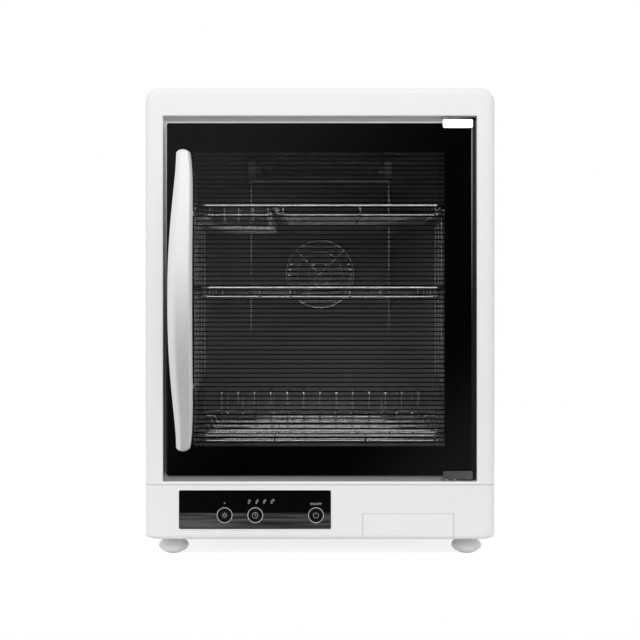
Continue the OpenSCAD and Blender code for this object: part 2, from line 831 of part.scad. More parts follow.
// Two posts, their front ends cut to the slope of the grip
module handle_posts() {
    y_seat = grip_face(post_u) + grip_t / 2 + grip_depth(post_u) / 2;
    slope = atan(4 * grip_bow * post_u / grip_l);
    color([0.86, 0.86, 0.87])
    for (s = [-1, 1])
        difference() {
            rod_y(post_x, grip_z + s * post_span / 2, y_seat - 3, y_glass - touch, post_d);
            rod_y(post_x, grip_z + s * post_span / 2, y_glass - 12, y_glass, handle_screw_d + 0.2);
            translate([post_x, y_seat + 0.25, grip_z + s * post_span / 2])
                rotate([-s * slope, 0, 0])
                    block([-post_d, -2 * post_d, -post_d], [post_d, 0, post_d]);
        }
}

module handle_screws() {
    color(steel)
    for (s = [-1, 1]) {
        z = grip_z + s * post_span / 2;
        rod_y(post_x, z, y_glass - 11, y_print_back + touch + 1, handle_screw_d);
        rod_y(post_x, z, y_print_back + touch, y_print_back + touch + 2.4, 9);
    }
}

// ---------- controls ----------

module control_panel() {
    color(black)
    difference() {
        upright(y_panel, y_panel + panel_t) panel_outline(0, 2);
        for (x = button_x)
            rod_y(x, button_z, y_panel - slack, y_panel + panel_t + slack, button_d + 2.4);
        for (p = light_places())
            rod_y(p[0], p[1], y_panel - slack, y_panel + panel_t + slack, 2.1);
    }
}

module button_rings() {
    color(chrome)
    for (x = button_x)
        difference() {
            rod_y(x, button_z, y_panel - 0.2, y_panel + panel_t, button_d + 2.4 - 2 * touch);
            rod_y(x, button_z, y_panel - slack, y_panel + panel_t + slack, button_d + 0.8);
        }
}

module button(i) {
    color(black) {
        rod_y(button_x[i], button_z, y_panel - 0.6, y_panel + panel_t + 1, button_d);
        rod_y(button_x[i], button_z, y_panel + panel_t + 1, switch_y() - free - button_travel, 6);
    }
}

function switch_y() = board_y - switch_t - 1;

function light_places() = concat([[button_x[0], button_z + light_up]],
    [for (i = [-1.5:1:1.5]) [button_x[1] + 10.4 * i + 6.6, button_z + light_up]]);

module light_guides() {
    color([0.8, 0.8, 0.75])
    for (p = light_places())
        rod_y(p[0], p[1], y_panel - 0.1, board_y - touch, 2);
}

module control_board() {
    color([0.1, 0.35, 0.2])
    difference() {
        block([panel_x - panel_w / 2 + board_margin, board_y, panel_z - panel_h / 2 + board_margin],
            [panel_x + panel_w / 2 - board_margin, board_y + board_t, panel_z + panel_h / 2 - board_margin]);
        for (s = [-1, 1])
            rod_y(panel_x + s * board_post_x, panel_z, board_y - slack, board_y + board_t + slack,
                board_post_d + 2 * touch);
    }
    // Switches behind the buttons, soldered to the board
    color(black)
    for (x = button_x) {
        block([x - switch_w / 2, board_y - switch_t, button_z - switch_w / 2],
            [x + switch_w / 2, board_y, button_z + switch_w / 2]);
        rod_y(x, button_z, switch_y(), board_y - switch_t + weld, switch_w / 2);
    }
    // Posts that carry the board behind the panel
    color(white)
    for (s = [-1, 1])
        rod_y(panel_x + s * board_post_x, panel_z, y_panel + panel_t + touch, board_y + board_t,
            board_post_d);
}

module power_supply() {
    color([0.15, 0.3, 0.45])
    block([-x_out + supply_left, y_cover - supply_rear - supply_l, z_pan + touch],
        [-x_out + supply_left + supply_w, y_cover - supply_rear, z_pan + touch + supply_h]);
}

// ---------- lamp, fan and heater ----------

module uv_lamp() {
    color([0.85, 0.9, 1])
    rod([-lamp_l / 2 + cap_l, lamp_y, lamp_z], [lamp_l / 2 - cap_l, lamp_y, lamp_z], lamp_d);
}

module lamp_caps() {
    color(steel)
    for (s = [-1, 1])
        rod([s * (lamp_l / 2 - cap_l + touch), lamp_y, lamp_z], [s * lamp_l / 2, lamp_y, lamp_z], lamp_d);
}

module lamp_holders() {
    color(white)
    for (s = [-1, 1])
        let (xa = s * (lamp_l / 2 + touch), xb = s * (lamp_l / 2 + holder_t))
            block([min(xa, xb), lamp_y - lamp_d / 2 - 2, lamp_z - 12],
                [max(xa, xb), y_rear - touch, lamp_z + 12]);
}

module rear_guard() {
    leg_x = lamp_l / 2 + 8;
    z_hi = lamp_z - 18;
    z_lo = rim_middle - 70;
    color(chrome) {
        rod([-leg_x - 1, guard_y, z_hi], [leg_x + 1, guard_y, z_hi], rim_d);
        for (s = [-1, 1]) {
            rod([s * leg_x, guard_y, z_lo], [s * leg_x, guard_y, z_hi + 1], rim_d);
            for (z = [z_lo + 3, z_hi - 8])
                rod_y(s * leg_x, z, guard_y, y_rear - touch, spine_d);
        }
    }
}

module fan_guard() {
    y = guard_y + 0.5;
    color(chrome)
    translate([0, y, fan_z]) {
        for (r = [fan_bore * 0.16, fan_bore * 0.32, fan_bore * 0.48])
            rotate([90, 0, 0]) rotate_extrude() translate([r, 0]) circle(d = 2.4);
        for (a = [45, 135]) {
            rotate([0, a, 0])
                rod([-fan_bore * 0.49, 2.4 - weld, 0], [fan_bore * 0.49, 2.4 - weld, 0], 2.4);
            for (s = [-1, 1])
                rotate([0, a, 0]) rod_y(s * fan_bore * 0.44, 0, 2, y_rear - touch - y, 3.6);
        }
    }
}

module fan_housing() {
    color(black)
    translate([0, 0, fan_z])
        difference() {
            union() {
                difference() {
                    block([-fan_size / 2, fan_y0, -fan_size / 2], [fan_size / 2, fan_y1, fan_size / 2]);
                    rod_y(0, 0, fan_y0 - slack, fan_y1 - 2.5, fan_bore);
                    rod_y(0, 0, fan_y0 - slack, fan_y1 + slack, fan_bore - 6);
                }
                // Spider that carries the motor
                rod_y(0, 0, fan_y1 - 2.5, fan_y1, hub_d);
                for (a = [0, 90])
                    rotate([0, a + 45, 0])
                        block([-fan_bore / 2, fan_y1 - 2.5, -2.5], [fan_bore / 2, fan_y1, 2.5]);
                // Bosses that reach the liner
                for (x = [-1, 1], z = [-1, 1])
                    rod_y(x * fan_pitch / 2, z * fan_pitch / 2, y_rear + liner_t + touch, fan_y0 + 2, 9);
            }
            rod_y(0, 0, fan_y1 - 3, fan_y1 + slack, shaft_d + 2 * pin_play);
        }
}

module fan_stator() {
    color([0.7, 0.45, 0.2])
    translate([0, 0, fan_z])
        difference() {
            rod_y(0, 0, fan_y1 - 2.5 - touch - 11, fan_y1 - 2.5 - touch, hub_d - 7);
            rod_y(0, 0, fan_y0, fan_y1, shaft_d + 1);
        }
}

module fan_rotor() {
    blade_r = fan_bore / 2 - 4.5;
    cup_y0 = fan_y0 + 3;
    cup_y1 = fan_y1 - 3.2;
    color(black)
    translate([0, 0, fan_z]) {
        difference() {
            rod_y(0, 0, cup_y0, cup_y1, hub_d);
            rod_y(0, 0, cup_y0 + 3, cup_y1 + slack, hub_d - 4);
        }
        rod_y(0, 0, cup_y0 + 1, fan_y1 - 0.6, shaft_d);
        for (i = [0:fan_blades - 1])
            rotate([0, 360 / fan_blades * i, 0])
                translate([hub_d / 2 - 1.2, (cup_y0 + cup_y1) / 2, 0])
                    rotate([40, 0, 0])
                        translate([0, -7.5, -0.9]) cube([blade_r - hub_d / 2 + 1.2, 15, 1.8]);
    }
}

module ptc_heater() {
    half = fan_size * 0.38;
    y0 = y_rear + liner_t + 0.9;
    y1 = fan_y0 - touch;
    color([0.75, 0.75, 0.72])
    translate([0, 0, fan_z])
        difference() {
            block([-half, y0, -half], [half, y1, half]);
            for (i = [-4:4])
                block([i * half / 5 - half / 13, y0 - slack, -half + 6],
                    [i * half / 5 + half / 13, y1 + slack, half - 6]);
        }
}

// ---------- racks ----------

module side_frame(s) {
    z_lo = liner_z0 + 8;
    z_hi = rim_top + 18;
    rail_y0 = rack_y0 - 8;
    rail_y1 = rack_y1 - 4;
    columns = ceil((rail_y1 - rail_y0 - 8) / 58);
    step = (rail_y1 - rail_y0 - 8) / columns;
    color(chrome) {
        for (i = [0:columns])
            rod([s * frame_x, rail_y0 + 4 + i * step, z_lo], [s * frame_x, rail_y0 + 4 + i * step, z_hi],
                post_wire_d);
        for (z = [rim_bottom, rim_middle, rim_top])
            rod_y(s * rail_x, z - rail_below, rail_y0, rail_y1, rail_d);
        for (y = [rail_y0 + 4, rail_y1 - 4], z = [z_lo + 6, z_hi - 6])
            rod([s * frame_x, y, z], [s * (liner_x - touch), y, z], post_wire_d + 1);
    }
}

// The welded tray of one rack. Left is the left edge of its floor, spines are its lengthwise wires,
// and inner_rim is the place of the rim beside the left edge
module rack(rim_z, left, spines, inner_rim) {
    floor_z = rim_z - rack_drop + wire_d / 2;
    spine_z = floor_z - (wire_d + spine_d) / 2 + weld;
    flange_z = rim_z - (rim_d + wire_d) / 2 + weld;
    y0 = rack_y0 + 1;
    y1 = rack_y1 - 1;
    x0 = left + wire_bend + spine_d / 2;
    x1 = floor_x - wire_bend - spine_d / 2;
    count = floor((y1 - y0 - 2 * spine_bend) / wire_pitch);
    first = (y0 + y1 - count * wire_pitch) / 2;
    end_x = rim_x - free;
    start_x = inner_rim > -rim_x ? inner_rim - wire_lap : -end_x;
    wire([[-rim_x, y0, rim_z], [rim_x, y0, rim_z], [rim_x, y1, rim_z], [-rim_x, y1, rim_z]],
        rim_d, rim_bend, closed = true);
    if (inner_rim > -rim_x) rod_y(inner_rim, rim_z - inner_rim_drop, y0, y1, spine_d);
    // Cross wires, every third one bent up to the rim
    for (i = [0:count]) {
        y = first + i * wire_pitch;
        if (i % 3 == 0)
            wire([[start_x, y, flange_z], [left, y, flange_z], [left, y, floor_z],
                [floor_x, y, floor_z], [floor_x, y, flange_z], [end_x, y, flange_z]], wire_d, wire_bend);
        else
            rod([x0 - spine_d / 2, y, floor_z], [x1 + spine_d / 2, y, floor_z], wire_d);
    }
    // Lengthwise wires, turned up to the rim at both ends
    for (x = concat([x0, x1], spines))
        wire([[x, y0, rim_z], [x, y0, spine_z], [x, y1, spine_z], [x, y1, rim_z]], spine_d, spine_bend);
}

module rack_top() {
    inner_rim = basket_x1() + basket_gap;
    color(chrome) rack(rim_top, inner_rim + inner_rim_gap, [56], inner_rim);
}

module rack_middle() {
    color(chrome) rack(rim_middle, -floor_x, [-84, -41.5, 41.5, 84], -rim_x);
}

module rack_bottom() {
    color(chrome) rack(rim_bottom, -floor_x, [-63, 63], -rim_x);
}

function basket_x0() = -rim_x + rim_d / 2 + basket_side;
function basket_x1() = basket_x0() + basket_w;

// A wire box that hangs on the front and the rear rim of the top rack
module cutlery_basket() {
    d = basket_wire_d;
    lap = d - weld;
    x0 = basket_x0();
    x1 = basket_x1();
    y0 = rack_y0 + 1 + (rim_d + d) / 2 + free;
    y1 = rack_y1 - 1 - (rim_d + d) / 2 - free;
    z1 = rim_top - basket_drop;
    z0 = z1 - basket_h;
    z_end = z1 + 0.6;
    hook_z = rim_top + (rim_d + d) / 2 + free;
    hoops = round((y1 - y0) / 26);
    bars = round((x1 - x0) / 20.4);
    color(chrome) {
        // Rings outside the walls
        for (z = [z1, z1 - basket_h * 0.55])
            wire([[x0, y0, z], [x1, y0, z], [x1, y1, z], [x0, y1, z]], d, basket_bend, closed = true);
        // Hoops of the side walls and the floor
        for (i = [1:hoops - 1])
            let (y = y0 + (y1 - y0) * i / hoops)
                wire([[x0 + lap, y, z_end], [x0 + lap, y, z0], [x1 - lap, y, z0], [x1 - lap, y, z_end]],
                    d, basket_bend);
        // Lengthwise floor wires, turned up at both ends, every second one hooked over the rack's rim
        for (i = [0:bars]) {
            x = x0 + 2 * lap + (x1 - x0 - 4 * lap) * i / bars;
            z_hi = i % 2 == 0 ? z_end : hook_z;
            bar = [[x, y0 + lap, z_hi], [x, y0 + lap, z0 + lap], [x, y1 - lap, z0 + lap],
                [x, y1 - lap, z_hi]];
            wire(i % 2 == 0 ? bar : concat([[x, rack_y0 - 1, hook_z]], bar, [[x, rack_y1 + 1, hook_z]]),
                d, basket_bend);
        }
    }
}

// Closed hoops that stand on the floor of the bottom rack, held apart by three cross wires
module plate_rack() {
    d = plate_wire_d;
    floor_top = rim_bottom - rack_drop + wire_d;
    z0 = floor_top + d / 2 + free;
    z1 = z0 + plate_hoop_h;
    y0 = (rack_y0 + rack_y1) / 2 + 8;
    y1 = rack_y1 - 18;
    half = plate_pitch * (plate_hoops - 1) / 2;
    color(chrome) {
        for (y = [y0 + plate_bend + d, (y0 + y1) / 2, y1 - plate_bend - d])
            rod([-half - d, y, z0 + d - weld], [half + d, y, z0 + d - weld], d);
        for (x = [-half:plate_pitch:half])
            wire([[x, y0, z0], [x, y1, z0], [x, y1, z1], [x, y0, z1]], d, plate_bend, closed = true);
    }
}

// ---------- drip tray ----------

module drip_tray() {
    grip_depth = 13;
    x0 = tray_right - tray_w / 2;
    x1 = tray_right + tray_w / 2;
    b0 = tray_right - bin_w / 2;
    b1 = tray_right + bin_w / 2;
    y1 = y_front + tray_l;
    y_plate = y_front + 3.5;
    color(white)
    difference() {
        union() {
            block([x0, y_front + 0.3, z_base], [x1, y_plate, z_base + tray_h]);
            block([b0, y_front + 3, bin_z], [b1, y1, bin_top]);
        }
        block([b0 + tray_wall, y_plate + grip_depth + tray_wall, bin_z + tray_wall],
            [b1 - tray_wall, y1 - tray_wall, bin_top + slack]);
        // Finger recess behind the front, open below
        block([tray_right - 32, y_plate, z_base - slack],
            [tray_right + 32, y_plate + grip_depth - tray_wall, z_base + 16]);
    }
}

module tray_guides() {
    color([0.75, 0.75, 0.75])
    for (s = [-1, 1]) {
        xa = tray_right + s * (bin_w / 2 + free);
        xb = xa + s * 2.4;
        block([min(xa, xb), y_frame + 4, z_pan + touch], [max(xa, xb), y_front + tray_l + 16, bin_top - 6]);
    }
}

module cord_bushing() {
    color(black)
    difference() {
        union() {
            rod_y(cord_x, cord_z, y_cover - pan_t - 4, y_cover + 3, cord_d + 6 - 2 * touch);
            rod_y(cord_x, cord_z, y_cover + touch, y_cover + 3, cord_d + 10);
            rod_y(cord_x, cord_z, y_cover - pan_t - 4, y_cover - pan_t - touch, cord_d + 9);
        }
        rod_y(cord_x, cord_z, y_cover - pan_t - 4 - slack, y_cover + 3 + slack, cord_d);
    }
}

// ---------- assembly ----------

front_frame();
base_fascia();
base_pan();
side_panel(-1);  // side_panel_left
side_panel(1);  // side_panel_right
top_cover();
rear_cover();
rear_screws();
foot(0);  // foot_front_left
foot(1);  // foot_front_right
foot(2);  // foot_rear_left
foot(3);  // foot_rear_right
liner_side(-1);  // liner_left
liner_side(1);  // liner_right
liner_top();
liner_rear();
liner_floor();
drain_funnel();
door_gasket();
hinge_bracket(1);  // hinge_bracket_top
hinge_bracket(-1);  // hinge_bracket_bottom
hinge_bushes();
bracket_screws();
catch_magnet();
control_panel();
button_rings();
light_guides();
control_board();
power_supply();
fan_housing();
fan_stator();
ptc_heater();
fan_guard();
uv_lamp();
lamp_caps();
lamp_holders();
rear_guard();
side_frame(-1);  // side_frame_left
side_frame(1);  // side_frame_right
tray_guides();
cord_bushing();
door_glass();
glass_print();
handle_grip();
handle_posts();
handle_screws();
hinge_clamp(1);  // hinge_clamp_top
hinge_clamp(-1);  // hinge_clamp_bottom
hinge_pins();
strike_plate();
rack_top();
rack_middle();
rack_bottom();
plate_rack();
cutlery_basket();
button(0);  // button_uv
button(1);  // button_timer
button(2);  // button_power
drip_tray();
fan_rotor();
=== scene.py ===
import logging
import math
from dataclasses import dataclass, field
from enum import Enum
from typing import Any, Iterable, Sequence

import bmesh
import bpy
import numpy as np
from mathutils import Matrix, Vector


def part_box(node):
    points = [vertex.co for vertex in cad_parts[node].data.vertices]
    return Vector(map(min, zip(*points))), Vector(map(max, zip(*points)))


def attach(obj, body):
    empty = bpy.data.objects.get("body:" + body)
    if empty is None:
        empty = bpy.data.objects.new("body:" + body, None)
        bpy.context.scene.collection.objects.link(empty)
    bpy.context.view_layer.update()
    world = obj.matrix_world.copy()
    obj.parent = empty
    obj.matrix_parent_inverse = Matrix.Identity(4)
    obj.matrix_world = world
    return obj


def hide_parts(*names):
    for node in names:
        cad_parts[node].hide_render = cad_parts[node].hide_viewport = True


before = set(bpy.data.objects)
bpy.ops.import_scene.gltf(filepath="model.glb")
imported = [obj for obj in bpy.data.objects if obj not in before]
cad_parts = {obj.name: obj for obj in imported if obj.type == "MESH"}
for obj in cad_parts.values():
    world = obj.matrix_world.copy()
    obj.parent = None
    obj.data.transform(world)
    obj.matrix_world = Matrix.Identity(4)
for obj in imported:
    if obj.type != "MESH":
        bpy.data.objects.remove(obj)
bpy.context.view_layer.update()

SHARP = 38.0         # angle in degrees past which an edge is drawn sharp
FACE_GAP = 0.00005   # between a piece and the flat face that it meets
LOG = logging.getLogger("sterilizer")

Colour = tuple[float, float, float]
Link = bpy.types.NodeSocket  # a node's output
Radius = float | tuple[float, float]  # of a corner, or its reach in x and in z


# ---- shader maths


class Tree:
    """The node tree of one material or world."""

    def __init__(self, owner: bpy.types.Material | bpy.types.World) -> None:
        """Empties the owner's tree.

        Args:
            owner: The material or world whose nodes are made.
        """
        owner.use_nodes = True
        self.nodes = owner.node_tree.nodes
        self.links = owner.node_tree.links
        self.nodes.clear()

    def node(self, kind: str, settings: dict[str, Any] | None = None,
             sockets: dict[Any, Any] | None = None) -> bpy.types.Node:
        """Adds a node, sets it up and feeds its sockets.

        Args:
            kind: The node's type, without the word ShaderNode.
            settings: The node's own properties, set first.
            sockets: What feeds its inputs.

        Returns:
            The new node.
        """
        made = self.nodes.new("ShaderNode" + kind)
        for name, value in (settings or {}).items():
            setattr(made, name, value)
        return self.feed(made, sockets or {})

    def feed(self, node: bpy.types.Node, sockets: dict[Any, Any]) -> bpy.types.Node:
        """Feeds a node's inputs.

        Args:
            node: The node.
            sockets: A value, a Value or an output for each input, by name or index.

        Returns:
            The node.
        """
        for key, value in sockets.items():
            if isinstance(value, Value):
                value = value.socket
            if isinstance(value, bpy.types.NodeSocket):
                self.links.new(value, node.inputs[key])
            else:
                node.inputs[key].default_value = value
        return node

    def value(self, socket: Link) -> "Value":
        """Returns the socket as a number to reckon with."""
        return Value(self, socket)

    def place(self, scale: Sequence[float] = (1, 1, 1), turn: Sequence[float] = (0, 0, 0)) -> Link:
        """The point on the piece in metres, scaled and turned.

        Args:
            scale: The factor along each axis.
            turn: The turn about each axis, in degrees.

        Returns:
            A vector output.
        """
        here = self.node("TexCoord").outputs["Object"]
        angles = [math.radians(a) for a in turn]
        return self.node("Mapping", None, {"Vector": here, "Rotation": angles, "Scale": scale}).outputs[0]

    def axes(self, output: str = "Object") -> list["Value"]:
        """Splits a vector of the piece or the world into its numbers.

        Args:
            output: Object for the place in metres, Normal for the facing, Generated for a world's way.

        Returns:
            The numbers along X, Y and Z.
        """
        split = self.node("SeparateXYZ", None, {0: self.node("TexCoord").outputs[output]})
        return [self.value(part) for part in split.outputs]

    def noise(self, scale: float, detail: float = 2.0, at: Link | None = None) -> "Value":
        """Smooth noise from 0 to 1.

        Args:
            scale: Waves in a metre.
            detail: Finer octaves.
            at: Where it is read, or None for the plain point.

        Returns:
            The noise.
        """
        at = at or self.place()
        made = self.node("TexNoise", None, {"Vector": at, "Scale": scale, "Detail": detail})
        return self.value(made.outputs[0])

    def tint(self, colour: Colour, share: "Value", other: Colour | Link) -> Link:
        """Mixes a colour with another.

        Args:
            colour: The colour at share 0.
            share: The share of the other colour.
            other: The colour at share 1, or an output that gives it.

        Returns:
            A colour output.
        """
        other = (*other, 1.0) if isinstance(other, tuple) else other
        return self.node("Mix", {"data_type": "RGBA"}, {0: share, 6: (*colour, 1.0), 7: other}).outputs[2]

    def bump(self, height: "Value", depth: float) -> Link:
        """Turns a height into a normal.

        Args:
            height: The height, from 0 to 1.
            depth: What a height of 1 stands for, in metres.

        Returns:
            A normal output.
        """
        return self.node("Bump", None, {"Height": height, "Distance": depth, "Strength": 1.0}).outputs[0]


class Value:
    """A number that changes over a surface. Python's operators add Math nodes."""

    def __init__(self, tree: Tree, socket: Link) -> None:
        """Keeps the tree and the output that gives the number."""
        self.tree = tree
        self.socket = socket

    def _math(self, operation: str, *terms: Any) -> "Value":
        """Adds one Math node.

        Args:
            operation: Its operation.
            terms: Its inputs in order.

        Returns:
            Its result.
        """
        made = self.tree.node("Math", {"operation": operation}, dict(enumerate(terms)))
        return Value(self.tree, made.outputs[0])

    def __add__(self, other: Any) -> "Value":
        """Sum."""
        return self._math("ADD", self, other)

    __radd__ = __add__

    def __sub__(self, other: Any) -> "Value":
        """Difference."""
        return self._math("SUBTRACT", self, other)

    def __rsub__(self, other: Any) -> "Value":
        """Reflected difference."""
        return self._math("SUBTRACT", other, self)

    def __mul__(self, other: Any) -> "Value":
        """Product."""
        return self._math("MULTIPLY", self, other)

    __rmul__ = __mul__

    def above(self, edge: float) -> "Value":
        """1 where the number is over edge, and 0 elsewhere."""
        return self._math("GREATER_THAN", self, edge)

    def between(self, low: float, high: float) -> "Value":
        """Rises smoothly from 0 at low to 1 at high.

        Args:
            low: Where the rise starts.
            high: Where it ends.

        Returns:
            The smooth step.
        """
        made = self.tree.node("MapRange", {"interpolation_type": "SMOOTHSTEP"},
                              {"Value": self, "From Min": low, "From Max": high})
        return Value(self.tree, made.outputs[0])


# ---- finishes


@dataclass(frozen=True)
class Finish:
    """A finish of one colour with a fine grain in its gloss."""

    name: str
    colour: Colour
    roughness: float
    metallic: float = 0.0
    grain: float = 300.0       # waves of the grain in a metre
    depth: float = 0.00002     # depth of the grain's bump in metres
    uneven: float = 0.05       # change of roughness along the grain
    shade: float = 0.96        # brightness of the darker patches
    coat: float = 0.0
    ior: float = 1.5

    def material(self) -> bpy.types.Material:
        """Returns the material, made once."""
        known = bpy.data.materials.get(self.name)
        if known:
            return known
        made = bpy.data.materials.new(self.name)
        tree = Tree(made)
        shader = tree.node("BsdfPrincipled", None, {
            "Roughness": self.roughness, "Metallic": self.metallic, "Coat Weight": self.coat,
            "Coat Roughness": 0.05, "IOR": self.ior, "Base Color": (*self.colour, 1.0)})
        tree.node("OutputMaterial", None, {"Surface": self.paint(tree, shader)})
        return made

    def paint(self, tree: Tree, shader: bpy.types.Node) -> Link:
        """Adds the pattern.

        Args:
            tree: The material's tree.
            shader: Its main shader.

        Returns:
            The output that shows.
        """
        fine = tree.noise(self.grain, 3.0, self.lay(tree))
        dark = tuple(c * self.shade for c in self.colour)
        return tree.feed(shader, {
            "Base Color": tree.tint(self.colour, self.patches(tree), dark),
            "Roughness": self.roughness + (fine - 0.5) * (2 * self.uneven),
            "Normal": tree.bump(fine, self.depth)}).outputs[0]

    @staticmethod
    def patches(tree: Tree) -> Value:
        """Returns where the broad darker patches lie: 1 in their middle and 0 between them."""
        return tree.noise(9.0, 1.0).between(0.35, 0.75)

    def lay(self, tree: Tree) -> Link:
        """Returns where the grain is read: the same along every axis."""
        return tree.place()


@dataclass(frozen=True)
class Brushed(Finish):
    """Metal sheet with a drawn grain."""

    along: tuple[float, float, float] = (0.03, 1.0, 1.0)  # how much the grain is squeezed on each axis

    def lay(self, tree: Tree) -> Link:
        """Returns where the grain is read: drawn out along one axis."""
        return tree.place(self.along)


@dataclass(frozen=True)
class Pearl(Finish):
    """White paint with fine flakes, with painted shade that greys it lower down, most on what faces forward,
    painted light that keeps what faces left whiter, and darker painted shade on what faces right.
    """

    # colour of the painted shade lower down
    shaded_silver: Colour = (0.46, 0.46, 0.465)
    right_shade: Colour = (0.6, 0.6, 0.605)            # colour of the painted shade on what faces right
    heights: tuple[float, float] = (0.25, 0.44)   # where the painted shade starts to fade, and where it ends
    left: tuple[float, float] = (-0.35, 0.0)      # facings along X between which the left side's painted light ends
    left_light: float = 0.75                      # share of the painted shade that the left side lacks, as painted light
    right: tuple[float, float] = (0.2, 0.45)      # facings along X between which the right side's painted shade starts
    flakes: float = 2600.0                        # flakes in a metre
    sparkle: float = 0.06                         # share of the shaded silver that changes from flake to flake
    waves: float = 60.0                           # waves of the paint in a metre

    def paint(self, tree: Tree, shader: bpy.types.Node) -> Link:
        """Adds the painted shade and painted light, flakes in it, and a soft waviness of the paint.

        Args:
            tree: The material's tree.
            shader: Its main shader.

        Returns:
            The output that shows.
        """
        flakes = tree.node("TexVoronoi", None, {"Vector": tree.place(), "Scale": self.flakes})
        height, facing = tree.axes()[2], tree.axes("Normal")[0]
        left, right = 1 - facing.between(*self.left), facing.between(*self.right)
        # painted shade lower down, lessened on the left as painted light
        share = (1 - height.between(*self.heights)) * (1 - left * self.left_light)
        share = share - tree.value(flakes.outputs["Distance"]) * self.sparkle
        white = tree.tint(self.colour, share, self.shaded_silver)
        # painted shade on what faces right
        return tree.feed(shader, {
            "Base Color": tree.tint(self.right_shade, 1 - right, white),
            "Normal": tree.bump(tree.noise(self.waves, 1.0), self.depth)}).outputs[0]


@dataclass(frozen=True)
class ShadedLedge(Finish):
    """Moulding whose ledge behind the door carries painted shade, darkest where it lies low, and a painted
    black shadow at the hinge side.
    """

    ledge: float = 0.0                           # place along Y where the ledge's wall starts
    bay: tuple[float, ...] = (0.0,) * 4          # left, low, right and high side of the recess
    hinge: tuple[float, float] = (0.0, 0.0)      # place along X and Y from which the hinge side gets its painted black shadow
    heights: tuple[float, float] = (0.3, 0.64)   # where the painted shade starts to fade, and where it ends
    deepest_shade: float = 0.16                           # share of the colour that is left at its darkest painted shade
    sill: tuple[float, float] = (0.108, 0.118)   # heights over the sill between which the painted shade grows
    sill_least: float = 0.55                     # share of the painted shade at the sill
    black: Colour = (0.01, 0.01, 0.01)           # colour of the painted shadow on the hinge side

    def paint(self, tree: Tree, shader: bpy.types.Node) -> Link:
        """Adds the painted shade of the ledge and the painted shadow of the hinge side to the plain finish's
        grain.

        Args:
            tree: The material's tree.
            shader: Its main shader.

        Returns:
            The output that shows.
        """
        shown = super().paint(tree, shader)
        across, deep, up = tree.axes()
        beside = across.above(self.bay[0]) * (1 - across.above(self.bay[2]))
        level = up.above(self.bay[1]) * (1 - up.above(self.bay[3]))
        # painted shade on the recess's ledge, fading higher up and easing at the sill
        inside = deep.above(self.ledge) * beside * level
        high = up.between(*self.heights)
        sill = 1 - up.between(*self.sill)
        patches = self.patches(tree) * (1 - self.shade)
        fade = high + sill * (1 - self.sill_least)
        share = inside * (1 - fade) + (1 - inside) * patches
        deepest_shade = tuple(c * self.deepest_shade for c in self.colour)
        # painted black shadow on the hinge side of the ledge
        lit = 1 - across.above(self.hinge[0]) * deep.above(self.hinge[1]) * inside
        tree.feed(shader, {"Base Color": tree.tint(self.black, lit, tree.tint(self.colour, share, deepest_shade))})
        return shown


@dataclass(frozen=True)
class Smoked(Finish):
    """Clear glass with a grey tint, which also lets lamps through. Its own shader is a mirror."""

    passes: float = 0.92       # share of the light that each face lets through
    waves: float = 3.0         # waves of the glass in a metre
    mirror: float = 0.9        # share of Fresnel's reflection that the mirror gets
    sheen: float = 0.02        # and what it gets at any angle

    def paint(self, tree: Tree, shader: bpy.types.Node) -> Link:
        """Mixes what is behind the glass with its gloss, by the angle of sight.

        Args:
            tree: The material's tree.
            shader: Its main shader.

        Returns:
            The output that shows.
        """
        tree.feed(shader, {"Normal": tree.bump(tree.noise(self.waves, 1.0), self.depth)})
        behind = tree.node("BsdfTransparent", None, {"Color": (self.passes,) * 3 + (1.0,)})
        gloss = tree.node("Fresnel", None, {"IOR": self.ior})
        share = tree.value(gloss.outputs[0]) * self.mirror + self.sheen
        mixed = tree.node("MixShader", None, {0: share, 1: behind.outputs[0], 2: shader.outputs[0]})
        return mixed.outputs[0]


@dataclass(frozen=True)
class Pane(Smoked):
    """Smoked glass whose ground edge is frosted on its upper and left sides, where it also carries a painted
    highlight that is brightest high up.
    """

    # pale colour of the frost, which is also a painted highlight
    frost: Colour = (0.85, 0.85, 0.84)
    ground: Colour = (0.02, 0.02, 0.02)           # colour of the edge where it has neither frost nor painted highlight
    facings: tuple[float, float] = (0.3, 0.65)    # facings up and left between which the edge starts
    heights: tuple[float, float] = (0.3, 0.62)    # where the frost and its painted highlight start, and where they are full
    frost_rough: float = 0.5                      # how much rougher the frost is

    def paint(self, tree: Tree, shader: bpy.types.Node) -> Link:
        """Adds the frosted edge and its painted highlight, where the surface faces up or left, paler higher
        up.

        Args:
            tree: The material's tree.
            shader: Its main shader.

        Returns:
            The output that shows.
        """
        mixed = super().paint(tree, shader)
        right, _, up = tree.axes("Normal")
        edge = (up - right).between(*self.facings)
        # frost and painted highlight, fading lower down
        frosted = edge * tree.axes()[2].between(*self.heights)
        ground = tree.tint(self.ground, frosted, self.frost)
        tree.feed(shader, {
            "Base Color": tree.tint(self.colour, edge, ground),
            "Roughness": self.roughness + frosted * self.frost_rough,
            "Metallic": 1 - edge})
        whole = tree.node("MixShader", None, {0: edge, 1: mixed, 2: shader.outputs[0]})
        return whole.outputs[0]


